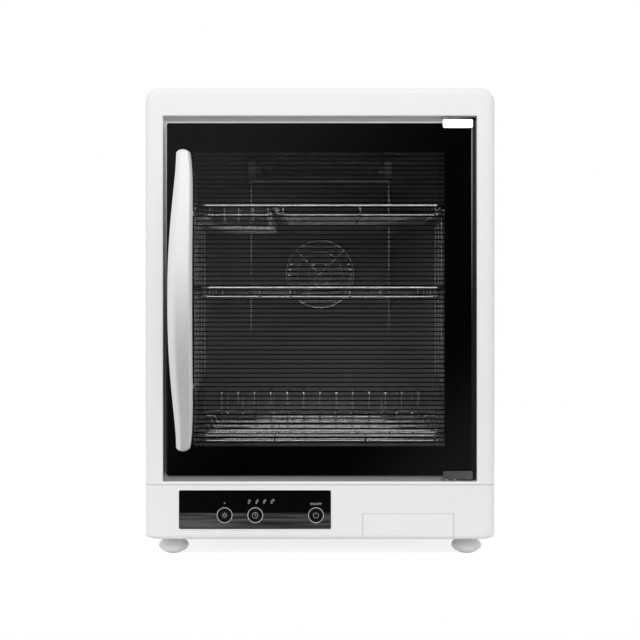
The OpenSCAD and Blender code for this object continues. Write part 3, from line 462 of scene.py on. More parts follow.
@dataclass(frozen=True)
class PanelGloss(Finish):
    """Black gloss film with a band of drawn grey streaks low down."""

    band: tuple[float, float] = (0.0, 0.0)   # lowest and highest point of the band, in metres
    streak: Colour = (0.075, 0.075, 0.075)
    fine: float = 620.0                      # fine streaks in a metre of height
    wide: float = 210.0                      # and wide ones
    fine_share: float = 0.35                 # weight of the fine streaks beside the wide ones
    levels: tuple[float, float] = (0.5, 0.95)   # levels of the noise between which a streak starts
    band_rough: float = 0.18                 # how much rougher the band is

    def paint(self, tree: Tree, shader: bpy.types.Node) -> Link:
        """Adds streaks that run across the panel within the band.

        Args:
            tree: The material's tree.
            shader: Its main shader.

        Returns:
            The output that shows.
        """
        height = tree.axes()[2]
        inside = height.above(self.band[0]) * (1 - height.above(self.band[1]))
        drawn = tree.noise(self.fine, 2.0, tree.place((0.03, 1.0, 1.0)))
        wide = tree.noise(self.wide, 1.0, tree.place((0.04, 1.0, 1.0), (0.0, 0.5, 0.0)))
        share = inside * (drawn * self.fine_share + wide).between(*self.levels)
        return tree.feed(shader, {
            "Base Color": tree.tint(self.colour, share, self.streak),
            "Roughness": self.roughness + inside * self.band_rough,
            "Normal": tree.bump(drawn * inside, self.depth)}).outputs[0]


WHITE = (0.9, 0.9, 0.89)
MOULDING = Finish("satin_white_moulding", WHITE, 0.42, grain=900.0, depth=0.000012, shade=0.985, ior=1.38)
FOOT_WHITE = Finish("white_foot_moulding", (0.94, 0.94, 0.93), 0.42, grain=500.0, depth=0.00002, shade=0.97)
POWDER = Finish("white_powder_coat", (0.88, 0.88, 0.87), 0.46, grain=1700.0, depth=0.00005, shade=0.985)
ZINC = Brushed("zinc_sheet", (0.56, 0.57, 0.58), 0.42, 0.85, grain=420.0, depth=0.00003, shade=0.94)
LINER = Brushed("polished_liner", (0.5, 0.5, 0.51), 0.12, 0.45, grain=900.0, depth=0.00001, uneven=0.03,
                shade=0.9, along=(0.02, 1.0, 1.0))
CHROME = Finish("bright_chrome", (0.78, 0.79, 0.8), 0.08, 1.0, grain=260.0, depth=0.00001, uneven=0.03)
WIRE = Finish("chrome_wire", (0.9, 0.91, 0.92), 0.34, 0.32, grain=420.0, depth=0.00002, uneven=0.05)
STEEL = Brushed("zinc_screw", (0.6, 0.6, 0.6), 0.3, 1.0, grain=700.0, depth=0.00002, shade=0.85,
                along=(1.0, 0.2, 1.0))
# its ground edge carries a painted highlight on the upper and left sides
GLASS = Pane("smoked_glass", (0.9, 0.9, 0.9), 0.02, 1.0, depth=0.000006, ior=1.45)
QUARTZ = Smoked("quartz_tube", (0.85, 0.9, 0.97), 0.03, 1.0, depth=0.000006, ior=1.46, passes=0.95)
INK = Finish("black_screen_print", (0.003, 0.003, 0.003), 0.25, grain=1500.0, depth=0.000006, uneven=0.03,
             ior=1.04)
# its grey lower down and on the right is painted shade
PEARL = Pearl("silver_pearl_paint", (0.81, 0.81, 0.815), 0.55, 0.1, depth=0.00003, ior=1.4)
BUTTON = Finish("black_gloss_cap", (0.004, 0.004, 0.004), 0.2, grain=700.0, depth=0.00001, uneven=0.04,
                ior=1.25)
RING = Finish("satin_ring", (0.75, 0.75, 0.75), 0.4, 0.3, grain=900.0, depth=0.00001)
PRINT = Finish("grey_print", (0.5, 0.5, 0.5), 0.5, grain=1200.0, depth=0.00001)
LIGHT = Finish("frosted_light", (0.3, 0.3, 0.28), 0.4, grain=900.0, depth=0.00002)
SEAL = Finish("grey_silicone", (0.3, 0.3, 0.31), 0.62, grain=800.0, depth=0.00005, shade=0.88)
MATTE = Finish("black_matt_moulding", (0.035, 0.035, 0.036), 0.5, grain=1100.0, depth=0.00006, shade=0.8)
BOARD = Finish("green_board", (0.02, 0.13, 0.05), 0.35, grain=500.0, depth=0.00003, shade=0.8)
CASE = Finish("blue_grey_case", (0.1, 0.14, 0.2), 0.42, grain=900.0, depth=0.00004, shade=0.85)
COPPER = Brushed("wound_copper", (0.62, 0.3, 0.14), 0.35, 0.9, grain=900.0, depth=0.0001, shade=0.7)
FINS = Brushed("aluminium_fins", (0.66, 0.66, 0.65), 0.35, 0.9, grain=500.0, depth=0.00003, shade=0.8)
CAP = Brushed("satin_aluminium", (0.7, 0.7, 0.71), 0.3, 1.0, grain=600.0, depth=0.00002, shade=0.9)
CERAMIC = Finish("white_holder", (0.74, 0.74, 0.72), 0.5, grain=900.0, depth=0.00004, shade=0.9)
GUIDE = Finish("grey_guide", (0.5, 0.5, 0.5), 0.45, grain=700.0, depth=0.00004, shade=0.88)


# ---- surfaces


class Turn(Enum):
    """The axis that a turned piece is round."""

    ALONG_X = 0
    ALONG_Y = 1
    ALONG_Z = 2


@dataclass
class Shape:
    """Closed surfaces gathered into one mesh."""

    points: list[np.ndarray] = field(default_factory=list)
    quads: list[np.ndarray] = field(default_factory=list)
    fans: list[np.ndarray] = field(default_factory=list)
    count: int = 0

    def loft(self, rings: np.ndarray, closed: bool = False) -> "Shape":
        """Joins rings of points by quads: ring i and point j make a grid that wraps round in j.

        The ends are closed by flat polygons, or the last ring is joined to the first. The faces are
        turned outwards by the sign of the volume that they enclose.

        Args:
            rings: The rings, as an array of rings by points by 3.
            closed: Whether the last ring is joined to the first.

        Returns:
            This shape.
        """
        many, around = rings.shape[:2]
        index = np.arange(many * around).reshape(many, around)
        ahead = np.roll(index, -1, axis=1)
        rows = np.arange(many if closed else many - 1)
        nxt = (rows + 1) % many
        quads = np.stack([index[rows], ahead[rows], ahead[nxt], index[nxt]], axis=-1).reshape(-1, 4)
        ends = [] if closed else [index[0][::-1], index[-1]]
        flat = rings.reshape(-1, 3)
        centre = flat.mean(axis=0)
        a, b, c, d = (flat[quads[:, k]] - centre for k in range(4))
        volume = np.einsum("ij,ij->", a, np.cross(b, c)) + np.einsum("ij,ij->", a, np.cross(c, d))
        for end in ends:
            fan = flat[end] - centre
            volume += (np.cross(fan[1:-1], fan[2:]) @ fan[0]).sum()
        if volume < 0:
            quads = quads[:, ::-1]
            ends = [end[::-1] for end in ends]
        self.points.append(flat)
        self.quads.append(quads + self.count)
        self.fans += [end + self.count for end in ends]
        self.count += len(flat)
        return self

    def tube(self, path: np.ndarray, d: float, across: Sequence[float], sides: int = 12,
             closed: bool = False) -> "Shape":
        """Carries a circle along a path that lies in a plane.

        The point at angle t is the path's point plus d / 2 times (cos t times the plane's normal plus
        sin t times the normal crossed with the path's direction). Open ends are rounded over.

        Args:
            path: The path's points.
            d: The diameter.
            across: The normal of the path's plane.
            sides: The points of the circle.
            closed: Whether the path's end is joined to its start.

        Returns:
            This shape.
        """
        if closed:
            direction = np.roll(path, -1, axis=0) - np.roll(path, 1, axis=0)
        else:
            direction = np.gradient(path, axis=0)
        direction /= np.linalg.norm(direction, axis=1, keepdims=True)
        radius = np.full(len(path), d / 2)
        if not closed:
            over = np.radians([25.0, 50.0, 75.0, 90.0])
            inwards = (d / 4) * (1 - np.cos(over))[:, None]
            rise = d / 2 * np.sin(over)
            radius = np.concatenate([rise, radius[1:-1], rise[::-1]])
            path = np.concatenate([path[0] + direction[0] * inwards, path[1:-1],
                                   path[-1] - direction[-1] * inwards[::-1]])
            direction = np.concatenate([direction[[0] * 4], direction[1:-1], direction[[-1] * 4]])
        normal = np.asarray(across, float) / np.linalg.norm(across)
        side = np.cross(normal, direction)
        angle = np.linspace(0, 2 * np.pi, sides, endpoint=False)
        rings = path[:, None] + radius[:, None, None] * (
            np.cos(angle)[None, :, None] * normal + np.sin(angle)[None, :, None] * side[:, None])
        return self.loft(rings, closed)

    def turned(self, profile: np.ndarray, centre: Sequence[float], turn: Turn, sides: int = 64) -> "Shape":
        """Turns a profile about an axis: distance r and place h give (h, r cos t, r sin t).

        Args:
            profile: Rows of distance from the axis and place along it.
            centre: The point that the axis passes through, from which places are counted.
            turn: The axis.
            sides: The points of a turn.

        Returns:
            This shape.
        """
        angle = np.linspace(0, 2 * np.pi, sides, endpoint=False)
        r, h = profile[:, 0, None], profile[:, 1, None]
        local = np.stack(np.broadcast_arrays(h, r * np.cos(angle), r * np.sin(angle)), axis=-1)
        order = [(0, 1, 2), (2, 0, 1), (1, 2, 0)][turn.value]
        return self.loft(local[..., order] + np.asarray(centre, float))

    def block(self, low: Sequence[float], high: Sequence[float]) -> "Shape":
        """Adds a box, which a bevel then softens.

        Args:
            low: Its lowest corner.
            high: Its highest corner.

        Returns:
            This shape.
        """
        low, high = np.asarray(low, float), np.asarray(high, float)
        square = np.array([[0, 0], [1, 0], [1, 1], [0, 1]], float)
        rings = np.stack([np.column_stack([square, np.full(4, k)]) for k in (0.0, 1.0)])
        return self.loft(low + rings * (high - low))

    def build(self, name: str, sharp: float = SHARP) -> bpy.types.Object:
        """Puts the surfaces into a mesh and an object at the origin.

        Args:
            name: The object's name.
            sharp: The angle in degrees past which an edge is drawn sharp.

        Returns:
            The object.
        """
        mesh = bpy.data.meshes.new(name)
        points = np.concatenate(self.points)
        quads = np.concatenate(self.quads)
        corners = np.concatenate([quads.ravel(), *self.fans]).astype(np.int32)
        sizes = np.array([4] * len(quads) + [len(f) for f in self.fans], np.int32)
        mesh.vertices.add(len(points))
        mesh.vertices.foreach_set("co", points.astype(np.float32).ravel())
        mesh.loops.add(len(corners))
        mesh.loops.foreach_set("vertex_index", corners)
        mesh.polygons.add(len(sizes))
        mesh.polygons.foreach_set("loop_start", np.concatenate([[0], sizes.cumsum()[:-1]]).astype(np.int32))
        mesh.polygons.foreach_set("use_smooth", np.ones(len(sizes), bool))
        mesh.update(calc_edges=True)
        mesh.validate()
        mesh.set_sharp_from_angle(angle=math.radians(sharp))
        made = bpy.data.objects.new(name, mesh)
        bpy.context.scene.collection.objects.link(made)
        return made


def rounded(x0: float, z0: float, x1: float, z1: float, low: Radius, high: Radius,
            steps: int = 10) -> np.ndarray:
    """A rectangle with round corners, as one ring of points.

    Each corner is a quarter of a circle or an ellipse about a centre one radius inside it. There are
    as many points whatever the radii, so that rings of different sizes can be joined.

    Args:
        x0: Left.
        z0: Lowest.
        x1: Right.
        z1: Highest.
        low: Radius of the lower corners.
        high: Radius of the upper corners.
        steps: Points of a corner.

    Returns:
        The points in x and z, anticlockwise from the lower left.
    """
    t = np.linspace(0, np.pi / 2, steps)
    (low_x, low_z), (high_x, high_z) = np.broadcast_to(low, 2), np.broadcast_to(high, 2)
    spots = ((x0 + low_x, z0 + low_z, low_x, low_z, np.pi),
             (x1 - low_x, z0 + low_z, low_x, low_z, 1.5 * np.pi),
             (x1 - high_x, z1 - high_z, high_x, high_z, 0.0),
             (x0 + high_x, z1 - high_z, high_x, high_z, 0.5 * np.pi))
    return np.concatenate([np.column_stack([x + rx * np.cos(a + t), z + rz * np.sin(a + t)])
                           for x, z, rx, rz, a in spots])


def standing(ring: np.ndarray, y: float) -> np.ndarray:
    """Stands a ring of x and z up at a depth y."""
    return np.column_stack([ring[:, 0], np.full(len(ring), y), ring[:, 1]])


def bent(corners: Sequence[Sequence[float]], radius: float, steps: int = 7,
         closed: bool = False) -> np.ndarray:
    """Rounds the corners of a path.

    A corner between unit directions u and v gets an arc about corner + (u + v) radius / (1 - u.v)
    for legs at right angles, in general along the halving line at radius / sin of half the angle.

    Args:
        corners: The corners.
        radius: The radius of the bends.
        steps: Points of a bend.
        closed: Whether the last corner is joined to the first.

    Returns:
        The path's points.
    """
    p = np.asarray(corners, float)
    many = len(p)
    parts = [] if closed else [p[:1]]
    for i in range(0 if closed else 1, many if closed else many - 1):
        u, v = p[i - 1] - p[i], p[(i + 1) % many] - p[i]
        u, v = u / np.linalg.norm(u), v / np.linalg.norm(v)
        half = math.acos(float(np.clip(u @ v, -1, 1))) / 2
        middle = (u + v) / np.linalg.norm(u + v)
        centre = p[i] + middle * radius / math.sin(half)
        start = p[i] + u * radius / math.tan(half) - centre
        end = p[i] + v * radius / math.tan(half) - centre
        swing = math.pi - 2 * half
        t = np.linspace(0, 1, steps)[:, None]
        parts.append(centre + (np.sin((1 - t) * swing) * start + np.sin(t * swing) * end) / math.sin(swing))
    if not closed:
        parts.append(p[-1:])
    return np.concatenate(parts)


def arc(first: float, last: float, steps: int) -> np.ndarray:
    """Angles in radians from first to last degrees."""
    return np.radians(np.linspace(first, last, steps))


# ---- putting pieces in place


@dataclass(frozen=True)
class Body:
    """A body of the frame and the way pieces join it."""

    name: str

    def take(self, piece: bpy.types.Object, finish: Finish,
             nodes: Iterable[str] = ()) -> bpy.types.Object:
        """Dresses a piece, lets it ride and reports it.

        Args:
            piece: The piece.
            finish: Its finish.
            nodes: The CAD nodes that it stands for.

        Returns:
            The piece.
        """
        piece.data.materials.clear()
        piece.data.materials.append(finish.material())
        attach(piece, self.name)
        if nodes:
            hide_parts(*nodes)
        LOG.info("%s rides on %s: %d faces", piece.name, self.name, len(piece.data.polygons))
        return piece


CABINET = Body("cabinet")
DOOR = Body("door")


def corners(node: str) -> tuple[np.ndarray, np.ndarray]:
    """Returns the lowest and the highest corner of a CAD node, in metres."""
    low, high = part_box(node)
    return np.array(low), np.array(high)


def dress(node: str, finish: Finish) -> None:
    """Gives a CAD node that stays as it is its finish.

    Args:
        node: The node's name.
        finish: The finish.
    """
    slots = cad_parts[node].data.materials
    if not len(slots):
        slots.append(None)
    for i in range(len(slots)):
        slots[i] = finish.material()
    LOG.info("%s keeps its CAD shape", node)


def bevel(piece: bpy.types.Object, width: float, segments: int = 2) -> bpy.types.Object:
    """Rounds the edges of a piece that are sharper than 40 degrees.

    Args:
        piece: The piece.
        width: The width of the rounding in metres.
        segments: Its steps.

    Returns:
        The piece.
    """
    rounding = piece.modifiers.new("edges", "BEVEL")
    rounding.width = width
    rounding.segments = segments
    rounding.limit_method = "ANGLE"
    rounding.angle_limit = math.radians(40.0)
    rounding.harden_normals = False
    return piece


def softened(node: str, body: Body, finish: Finish, width: float,
             segments: int = 2) -> bpy.types.Object:
    """Replaces a CAD node by a copy of it whose edges are rounded.

    Args:
        node: The node's name.
        body: The body that it rides on.
        finish: Its finish.
        width: The width of the rounding in metres.
        segments: Its steps.

    Returns:
        The copy.
    """
    copy = bpy.data.objects.new("soft_" + node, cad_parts[node].data.copy())
    bpy.context.scene.collection.objects.link(copy)
    shape = bmesh.new()
    shape.from_mesh(copy.data)
    bmesh.ops.remove_doubles(shape, verts=shape.verts, dist=1e-6)
    bmesh.ops.dissolve_limit(shape, angle_limit=math.radians(1.0), verts=shape.verts, edges=shape.edges)
    shape.to_mesh(copy.data)
    shape.free()
    copy.data.polygons.foreach_set("use_smooth", np.ones(len(copy.data.polygons), bool))
    copy.data.set_sharp_from_angle(angle=math.radians(SHARP))
    bevel(copy, width, segments)
    return body.take(copy, finish, [node])


def evened(piece: bpy.types.Object) -> bpy.types.Object:
    """Lets large faces decide the shading of a piece, so that they look flat up to their edges.

    Args:
        piece: The piece.

    Returns:
        The piece.
    """
    weights = piece.modifiers.new("shading", "WEIGHTED_NORMAL")
    weights.keep_sharp = True
    weights.weight = 80
    return piece


def cut(piece: bpy.types.Object, tool: bpy.types.Object) -> bpy.types.Object:
    """Cuts the volume of a tool out of a piece and deletes the tool.

    Args:
        piece: The piece.
        tool: A closed mesh.

    Returns:
        The piece with its new mesh.
    """
    change = piece.modifiers.new("cut", "BOOLEAN")
    change.object = tool
    change.operation = "DIFFERENCE"
    change.solver = "EXACT"
    seen = piece.evaluated_get(bpy.context.evaluated_depsgraph_get())
    result = bpy.data.meshes.new_from_object(seen)
    piece.modifiers.clear()
    piece.data = result
    result.name = piece.name
    result.set_sharp_from_angle(angle=math.radians(SHARP))
    bpy.data.objects.remove(tool)
    return piece


# ---- casing


@dataclass
class Casing:
    """The white outer parts: front frame, lower front, sheets, covers and feet."""

    edge: float = 0.008          # depth of the rounding of the front's outer edge
    soft: float = 0.012          # its width at the sides
    corner: float = 0.019        # upper corners
    base_corner: float = 0.008   # lower corners at the back
    base_front: Radius = (0.020, 0.007)   # and at the front
    wall: float = 0.003          # wall of the mouldings
    side: float = 0.007          # from the outside of a moulding to its hollow back
    seam_edge: float = 0.0005    # rounding of the edges at the seam
    lip_edge: float = 0.0015     # rounding of the edge of the door recess
    mouth_edge: float = 0.001    # rounding of the edge of the cavity's mouth
    recess_corner: float = 0.0012
    mouth_corner: float = 0.002
    gap_latch: float = 0.004     # gaps round the door glass
    gap_hinge: float = 0.0058
    gap_top: float = 0.0085
    gap_bottom: float = 0.0068
    mouth_step: float = 0.0065   # from the liner's sides to the mouth
    mouth_high: float = 0.006    # and from its floor and top
    wall_shown: float = 0.004    # depth of the recess that is left without painted shade, as white as the front
    bay_margin: float = 0.002    # how far the recess's painted shade reaches into its walls
    hinge_shadow_margin: float = 0.0005   # how far in front of the ledge the painted shadow of the hinge side starts
    panel_rim: float = 0.002     # width of the raised rim round the control panel
    panel_rise: float = 0.0009   # its height
    rim_corners: tuple[float, float, float] = (0.0035, 0.002, 0.001)   # at its foot, inside and behind
    pocket_corner: float = 0.003
    tray_gap: float = 0.0004     # gap round the drip tray's front
    bun_share: float = 0.37      # height of a foot's widest place, as a share of the foot's
    bun_sole: float = 70.0       # angle at which a foot's round side ends, in degrees
    neck: float = 0.012          # radius of a foot's neck
    stud: float = 0.0029         # and of its stud

    def build(self) -> None:
        """Builds and dresses every part of the casing."""
        self.front_frame()
        self.base_fascia()
        for node in ("base_pan", "side_panel_left", "side_panel_right", "top_cover"):
            evened(softened(node, CABINET, POWDER, 0.0003))
        evened(softened("rear_cover", CABINET, ZINC, 0.0002))
        evened(softened("rear_screws", CABINET, STEEL, 0.00025))
        for place in ("front_left", "front_right", "rear_left", "rear_right"):
            self.foot("foot_" + place)
        softened("cord_bushing", CABINET, MATTE, 0.0006)

    def front_frame(self) -> None:
        """Builds the front frame: outlines carried from the back round the edge, in and back again.

        On the outer edge, an angle a from 90 to 0 degrees sets the outline in by edge (1 - sin a) at the
        top and soft (1 - sin a) at the sides, at a depth of edge (1 - cos a). The lip of the recess and
        the mouth turn in by the same rule.
        """
        low, high = corners("front_frame")
        front, back = low[1], high[1]
        glass_low, glass_high = corners("door_glass")
        recess = (glass_low[0] - self.gap_latch, glass_low[2] - self.gap_bottom,
                  glass_high[0] + self.gap_hinge, glass_high[2] + self.gap_top)
        ledge = corners("door_gasket")[1][1] + FACE_GAP
        liner = corners("liner_left")[0][1]
        mouth_x = corners("liner_right")[0][0] - self.mouth_step
        mouth = (-mouth_x, corners("liner_floor")[1][2] + self.mouth_high,
                 mouth_x, corners("liner_top")[0][2] - self.mouth_high)

        def outside(share: float, depth: float) -> np.ndarray:
            """Works out the outer outline.

            Args:
                share: How far it is drawn in, as a share of the rounding.
                depth: Its distance from the front.

            Returns:
                Its points.
            """
            x, z = self.soft * share, self.edge * share
            return standing(rounded(low[0] + x, low[2] + self.seam(depth), high[0] - x, high[2] - z,
                                    0.001, (self.corner - x, self.corner - z)), front + depth)

        def hole(sides: Sequence[float], grow: float, radius: float, y: float) -> np.ndarray:
            """Returns the outline of an opening, grown on all sides, at depth y."""
            return standing(rounded(sides[0] - grow, sides[1] - grow, sides[2] + grow, sides[3] + grow,
                                    radius + grow, radius + grow), y)

        rings = [outside(0.0, back - front)]
        rings += [outside(1 - math.sin(a), self.edge * (1 - math.cos(a))) for a in arc(90, 0, 14)]
        rings += [hole(recess, self.lip_edge * (1 - math.sin(a)), self.recess_corner,
                       front + self.lip_edge * (1 - math.cos(a))) for a in arc(0, 90, 6)]
        rings += [hole(recess, 0.0, self.recess_corner, ledge)]
        rings += [hole(mouth, self.mouth_edge * (1 - math.sin(a)), self.mouth_corner,
                       ledge + self.mouth_edge * (1 - math.cos(a))) for a in arc(0, 90, 4)]
        rings += [hole(mouth, 0.0, self.mouth_corner, liner)]
        rings += [standing(rounded(low[0] + self.side, low[2] + self.wall, high[0] - self.side,
                                   high[2] - self.side, 0.002, self.corner - self.side), y)
                  for y in (liner, back)]
        frame_piece = Shape().loft(np.array(rings), True).build("front_frame_moulding")
        # The recess's ledge gets painted shade, and its hinge side a painted shadow.
        bay = np.array(recess) + np.array([-1, -1, 1, 1]) * self.bay_margin
        finish = ShadedLedge("framed_white_moulding", WHITE, MOULDING.roughness, grain=MOULDING.grain,
                        depth=MOULDING.depth, shade=MOULDING.shade, ior=MOULDING.ior,
                        ledge=float(front) + self.wall_shown, bay=tuple(bay.tolist()),
                        hinge=(float(glass_high[0]), float(ledge) - self.hinge_shadow_margin))
        evened(CABINET.take(frame_piece, finish, ["front_frame"]))

    def seam(self, depth: float) -> float:
        """Returns how far a moulding's edge at the seam draws back at a depth, by a quarter round."""
        left = max(self.seam_edge - depth, 0.0)
        return self.seam_edge - math.sqrt(self.seam_edge ** 2 - left ** 2)

    def base_fascia(self) -> None:
        """Builds the lower front as a shell with the pocket of the panel and the bay of the tray."""
        low, high = corners("base_fascia")
        front, back = low[1] + self.panel_rise, high[1]

        def outside(share: float, depth: float) -> np.ndarray:
            """Works out the outer outline.

            Args:
                share: How far it is drawn in, as a share of the rounding.
                depth: Its distance from the front.

            Returns:
                Its points.
            """
            inset = np.array([self.soft, self.edge]) * share
            behind = max(depth - self.edge, 0.0) / (back - front - self.edge)
            corner = (1 - behind) * np.array(self.base_front) + behind * self.base_corner - inset
            return standing(rounded(low[0] + inset[0], low[2] + inset[1], high[0] - inset[0],
                                    high[2] - self.seam(depth), np.maximum(corner, 0.001), 0.001),
                            front + depth)

        rings = [standing(rounded(low[0] + self.side, low[2] + self.wall, high[0] - self.side,
                                  high[2] - self.wall, 0.006, 0.001), y)
                 for y in (front + self.wall, back)]
        rings += [outside(0.0, back - front)]
        rings += [outside(1 - math.sin(a), self.edge * (1 - math.cos(a))) for a in arc(90, 0, 14)]
        shell = Shape().loft(np.array(rings)).build("lower_front_moulding")
        panel_low, panel_high = corners("control_panel")

        def pocket(grow: float, radius: float, y: float) -> np.ndarray:
            """Returns the panel's outline, grown on all sides, at depth y."""
            return standing(rounded(panel_low[0] - grow, panel_low[2] - grow, panel_high[0] + grow,
                                    panel_high[2] + grow, radius, radius), y)

        window = Shape().loft(np.array([pocket(self.panel_rim * 0.7, self.pocket_corner, y)
                                        for y in (front - 0.005, front + 0.02)]))
        tray_low, tray_high = corners("drip_tray")
        window.block((tray_low[0] - self.tray_gap, front - 0.01, low[2] - 0.01),
                     (tray_high[0] + self.tray_gap, back + 0.01, tray_high[2] + self.tray_gap))
        cut(shell, window.build("lower_front_openings"))
        bevel(shell, 0.0005)
        evened(CABINET.take(shell, MOULDING, ["base_fascia"]))
        behind = panel_high[1] + FACE_GAP
        rise, wide, rear = self.panel_rise, self.panel_rim, behind + 0.002
        foot, inside, hidden = self.rim_corners
        rim = [pocket(wide, foot, rear), pocket(wide, foot, front + 0.0001)]
        for a in arc(0, 180, 9):
            out = wide * 0.5 * (1 + math.cos(a))
            rim.append(pocket(out + FACE_GAP, inside + out, front - rise * math.sin(a)))
        rim += [pocket(FACE_GAP, inside, behind)]
        rim += [pocket(-0.003, hidden, y) for y in (behind, rear)]
        bead = Shape().loft(np.array(rim), True).build("panel_rim_moulding")
        evened(CABINET.take(bead, MOULDING))

    def foot(self, node: str) -> None:
        """Turns one bun foot.

        At angle t from -sole to sole, the bun's side lies at distance widest cos t and at height
        middle (1 + sin t / sin sole), so it is flat below and above. A neck and a stud stand on it.

        Args:
            node: The foot's node.
        """
        low, high = corners(node)
        centre = ((low[0] + high[0]) / 2, (low[1] + high[1]) / 2, low[2])
        widest = (high[0] - low[0]) / 2
        body = corners("base_fascia")[0][2]
        middle = self.bun_share * body
        t = arc(-self.bun_sole, self.bun_sole, 25)
        side = np.column_stack([widest * np.cos(t),
                                middle * (1 + np.sin(t) / math.sin(math.radians(self.bun_sole)))])
        top = body - FACE_GAP
        neck = np.array([[self.neck, side[-1, 1] + 0.0002], [self.neck, top], [self.stud, top],
                         [self.stud, high[2] - 0.0008], [self.stud - 0.0007, high[2]]])
        profile = np.vstack([[[0.004, 0.0], [0.010, 0.0]], side, neck])
        CABINET.take(Shape().turned(profile, centre, Turn.ALONG_Z, 72).build(node + "_bun", 50.0),
                     FOOT_WHITE, [node])


# ---- door


@dataclass
class Door:
    """The glass door with its print, bowed handle, clamps, pins and strike plate."""

    arris: float = 0.0008        # ground edge of the glass
    glass_corner: float = 0.003
    clear: float = 0.00004       # between the glass and its print
    grip_wide: float = 0.0332    # width of the grip in the middle
    grip_end: float = 0.0185     # and near its ends
    grip_thick: float = 0.0095
    grip_bow: float = 0.020      # how far its ends lie behind its middle
    grip_lean: float = 0.0055    # how far its right edge draws in at the ends
    flat_from: float = -0.25     # where the flat part of its face starts, from -1 to 1 across it
    left_lean: float = 0.6       # how far its left edge leans back, in half thicknesses
    right_from: float = 0.74     # where its right edge starts to lean back
    right_lean: float = 0.4      # and how far
    post: float = 0.013
    post_span: float = 0.235
    post_sink: float = 0.0005    # how far a post reaches into the grip
    post_edge: float = 0.0004    # rounding of its foot on the glass
    clamp_lean: float = 5.0      # lean of the upper clamp's cheek, in degrees
    rings: int = 96
    around: int = 72

    def build(self) -> None:
        """Builds and dresses every part of the door."""
        self.glass()
        dress("glass_print", INK)
        self.grip()
        self.posts()
        evened(softened("handle_screws", DOOR, STEEL, 0.0003))
        for node, lean in (("hinge_clamp_top", self.clamp_lean), ("hinge_clamp_bottom", 0.0)):
            self.clamp(node, lean)
        evened(softened("hinge_pins", DOOR, STEEL, 0.0004))
        evened(softened("strike_plate", DOOR, STEEL, 0.0002))

    def glass(self) -> None:
        """Builds the pane: its outline, with a ground edge on both faces."""
        low, high = corners("door_glass")
        back = high[1] - self.clear

        def outline(inset: float, y: float) -> np.ndarray:
            """Returns the pane's outline, drawn in on all sides, at depth y."""
            radius = self.glass_corner - inset
            return standing(rounded(low[0] + inset, low[2] + inset, high[0] - inset, high[2] - inset,
                                    radius, radius), y)

        rings = [outline(self.arris, low[1]), outline(0.0, low[1] + self.arris),
                 outline(0.0, back - self.arris), outline(self.arris, back)]
        pane = Shape().loft(np.array(rings)).build("door_pane", 25.0)
        evened(DOOR.take(pane, GLASS, ["door_glass"]))

    def clamp(self, node: str, lean: float) -> None:
        """Rounds a glass clamp's edges and leans the front of its cheek back.

        A point of the cheek's front moves back by its height over the cheek's lower edge, times the
        tangent of the lean.

        Args:
            node: The clamp's node.
            lean: The angle in degrees.
        """
        piece = softened(node, DOOR, CHROME, 0.0007, 3)
        low, _ = corners(node)
        spots = np.empty((len(piece.data.vertices), 3), np.float32)
        piece.data.vertices.foreach_get("co", spots.ravel())
        front = spots[:, 1] < low[1] + 0.0003
        spots[front, 1] += (spots[front, 2] - low[2]) * math.tan(math.radians(lean))
        piece.data.vertices.foreach_set("co", spots.ravel())
        piece.data.update()
        evened(piece)

    def grip(self) -> None:
        """Builds the bowed grip.

        At height u, from -1 to 1, its width is wide - (wide - end) |u|^2.2 and its thickness
        thick (1 - 0.2 u^2), both drawn in to a round at the tips. Its face lies bow u^2 behind the
        middle's, and its right edge draws in by lean u^8. At angle a round it, the width goes with cos a
        to the power 0.6 and the thickness with sin a to the power 0.75 at the back and 0.6 on the face.
        Left of flat_from, as a share of half the width, the section leans back by left_lean s^1.5 half
        thicknesses, where s goes from 0 to 1, and right of right_from it leans back by right_lean s.
        """
        low, high = corners("handle_grip")
        middle, half = (low[2] + high[2]) / 2, (high[2] - low[2]) / 2
        t = np.linspace(-1.0, 1.0, self.rings)
        u = np.sign(t) * (1 - (1 - np.abs(t)) ** 1.6)
        tip = np.sqrt(np.maximum(0.012, 1 - (np.maximum(0, np.abs(u) - 0.97) / 0.03) ** 2))
        wide = (self.grip_wide - (self.grip_wide - self.grip_end) * np.abs(u) ** 2.2) * tip
        thick = self.grip_thick * (1 - 0.2 * u ** 2) * tip
        edge = high[0] - self.grip_lean * u ** 8 - (1 - tip) * self.grip_end / 2
        face = low[1] + self.grip_bow * u ** 2
        a = np.linspace(0, 2 * np.pi, self.around, endpoint=False)
        across = np.sign(np.cos(a)) * np.abs(np.cos(a)) ** 0.6
        along = np.where(np.sin(a) > 0, np.abs(np.sin(a)) ** 0.75, -np.abs(np.sin(a)) ** 0.6)
        share = np.clip((self.flat_from - across) / (1 + self.flat_from), 0, 1)
        right = np.clip((across - self.right_from) / (1 - self.right_from), 0, 1)
        along = along + self.left_lean * share ** 1.5 + self.right_lean * right
        rings = np.empty((self.rings, self.around, 3))
        rings[..., 0] = (edge - wide / 2)[:, None] + wide[:, None] / 2 * across
        rings[..., 1] = (face + self.grip_thick / 2)[:, None] + thick[:, None] / 2 * along
        rings[..., 2] = (middle + u * half)[:, None]
        DOOR.take(Shape().loft(rings).build("grip_bow", 60.0), PEARL, ["handle_grip"])

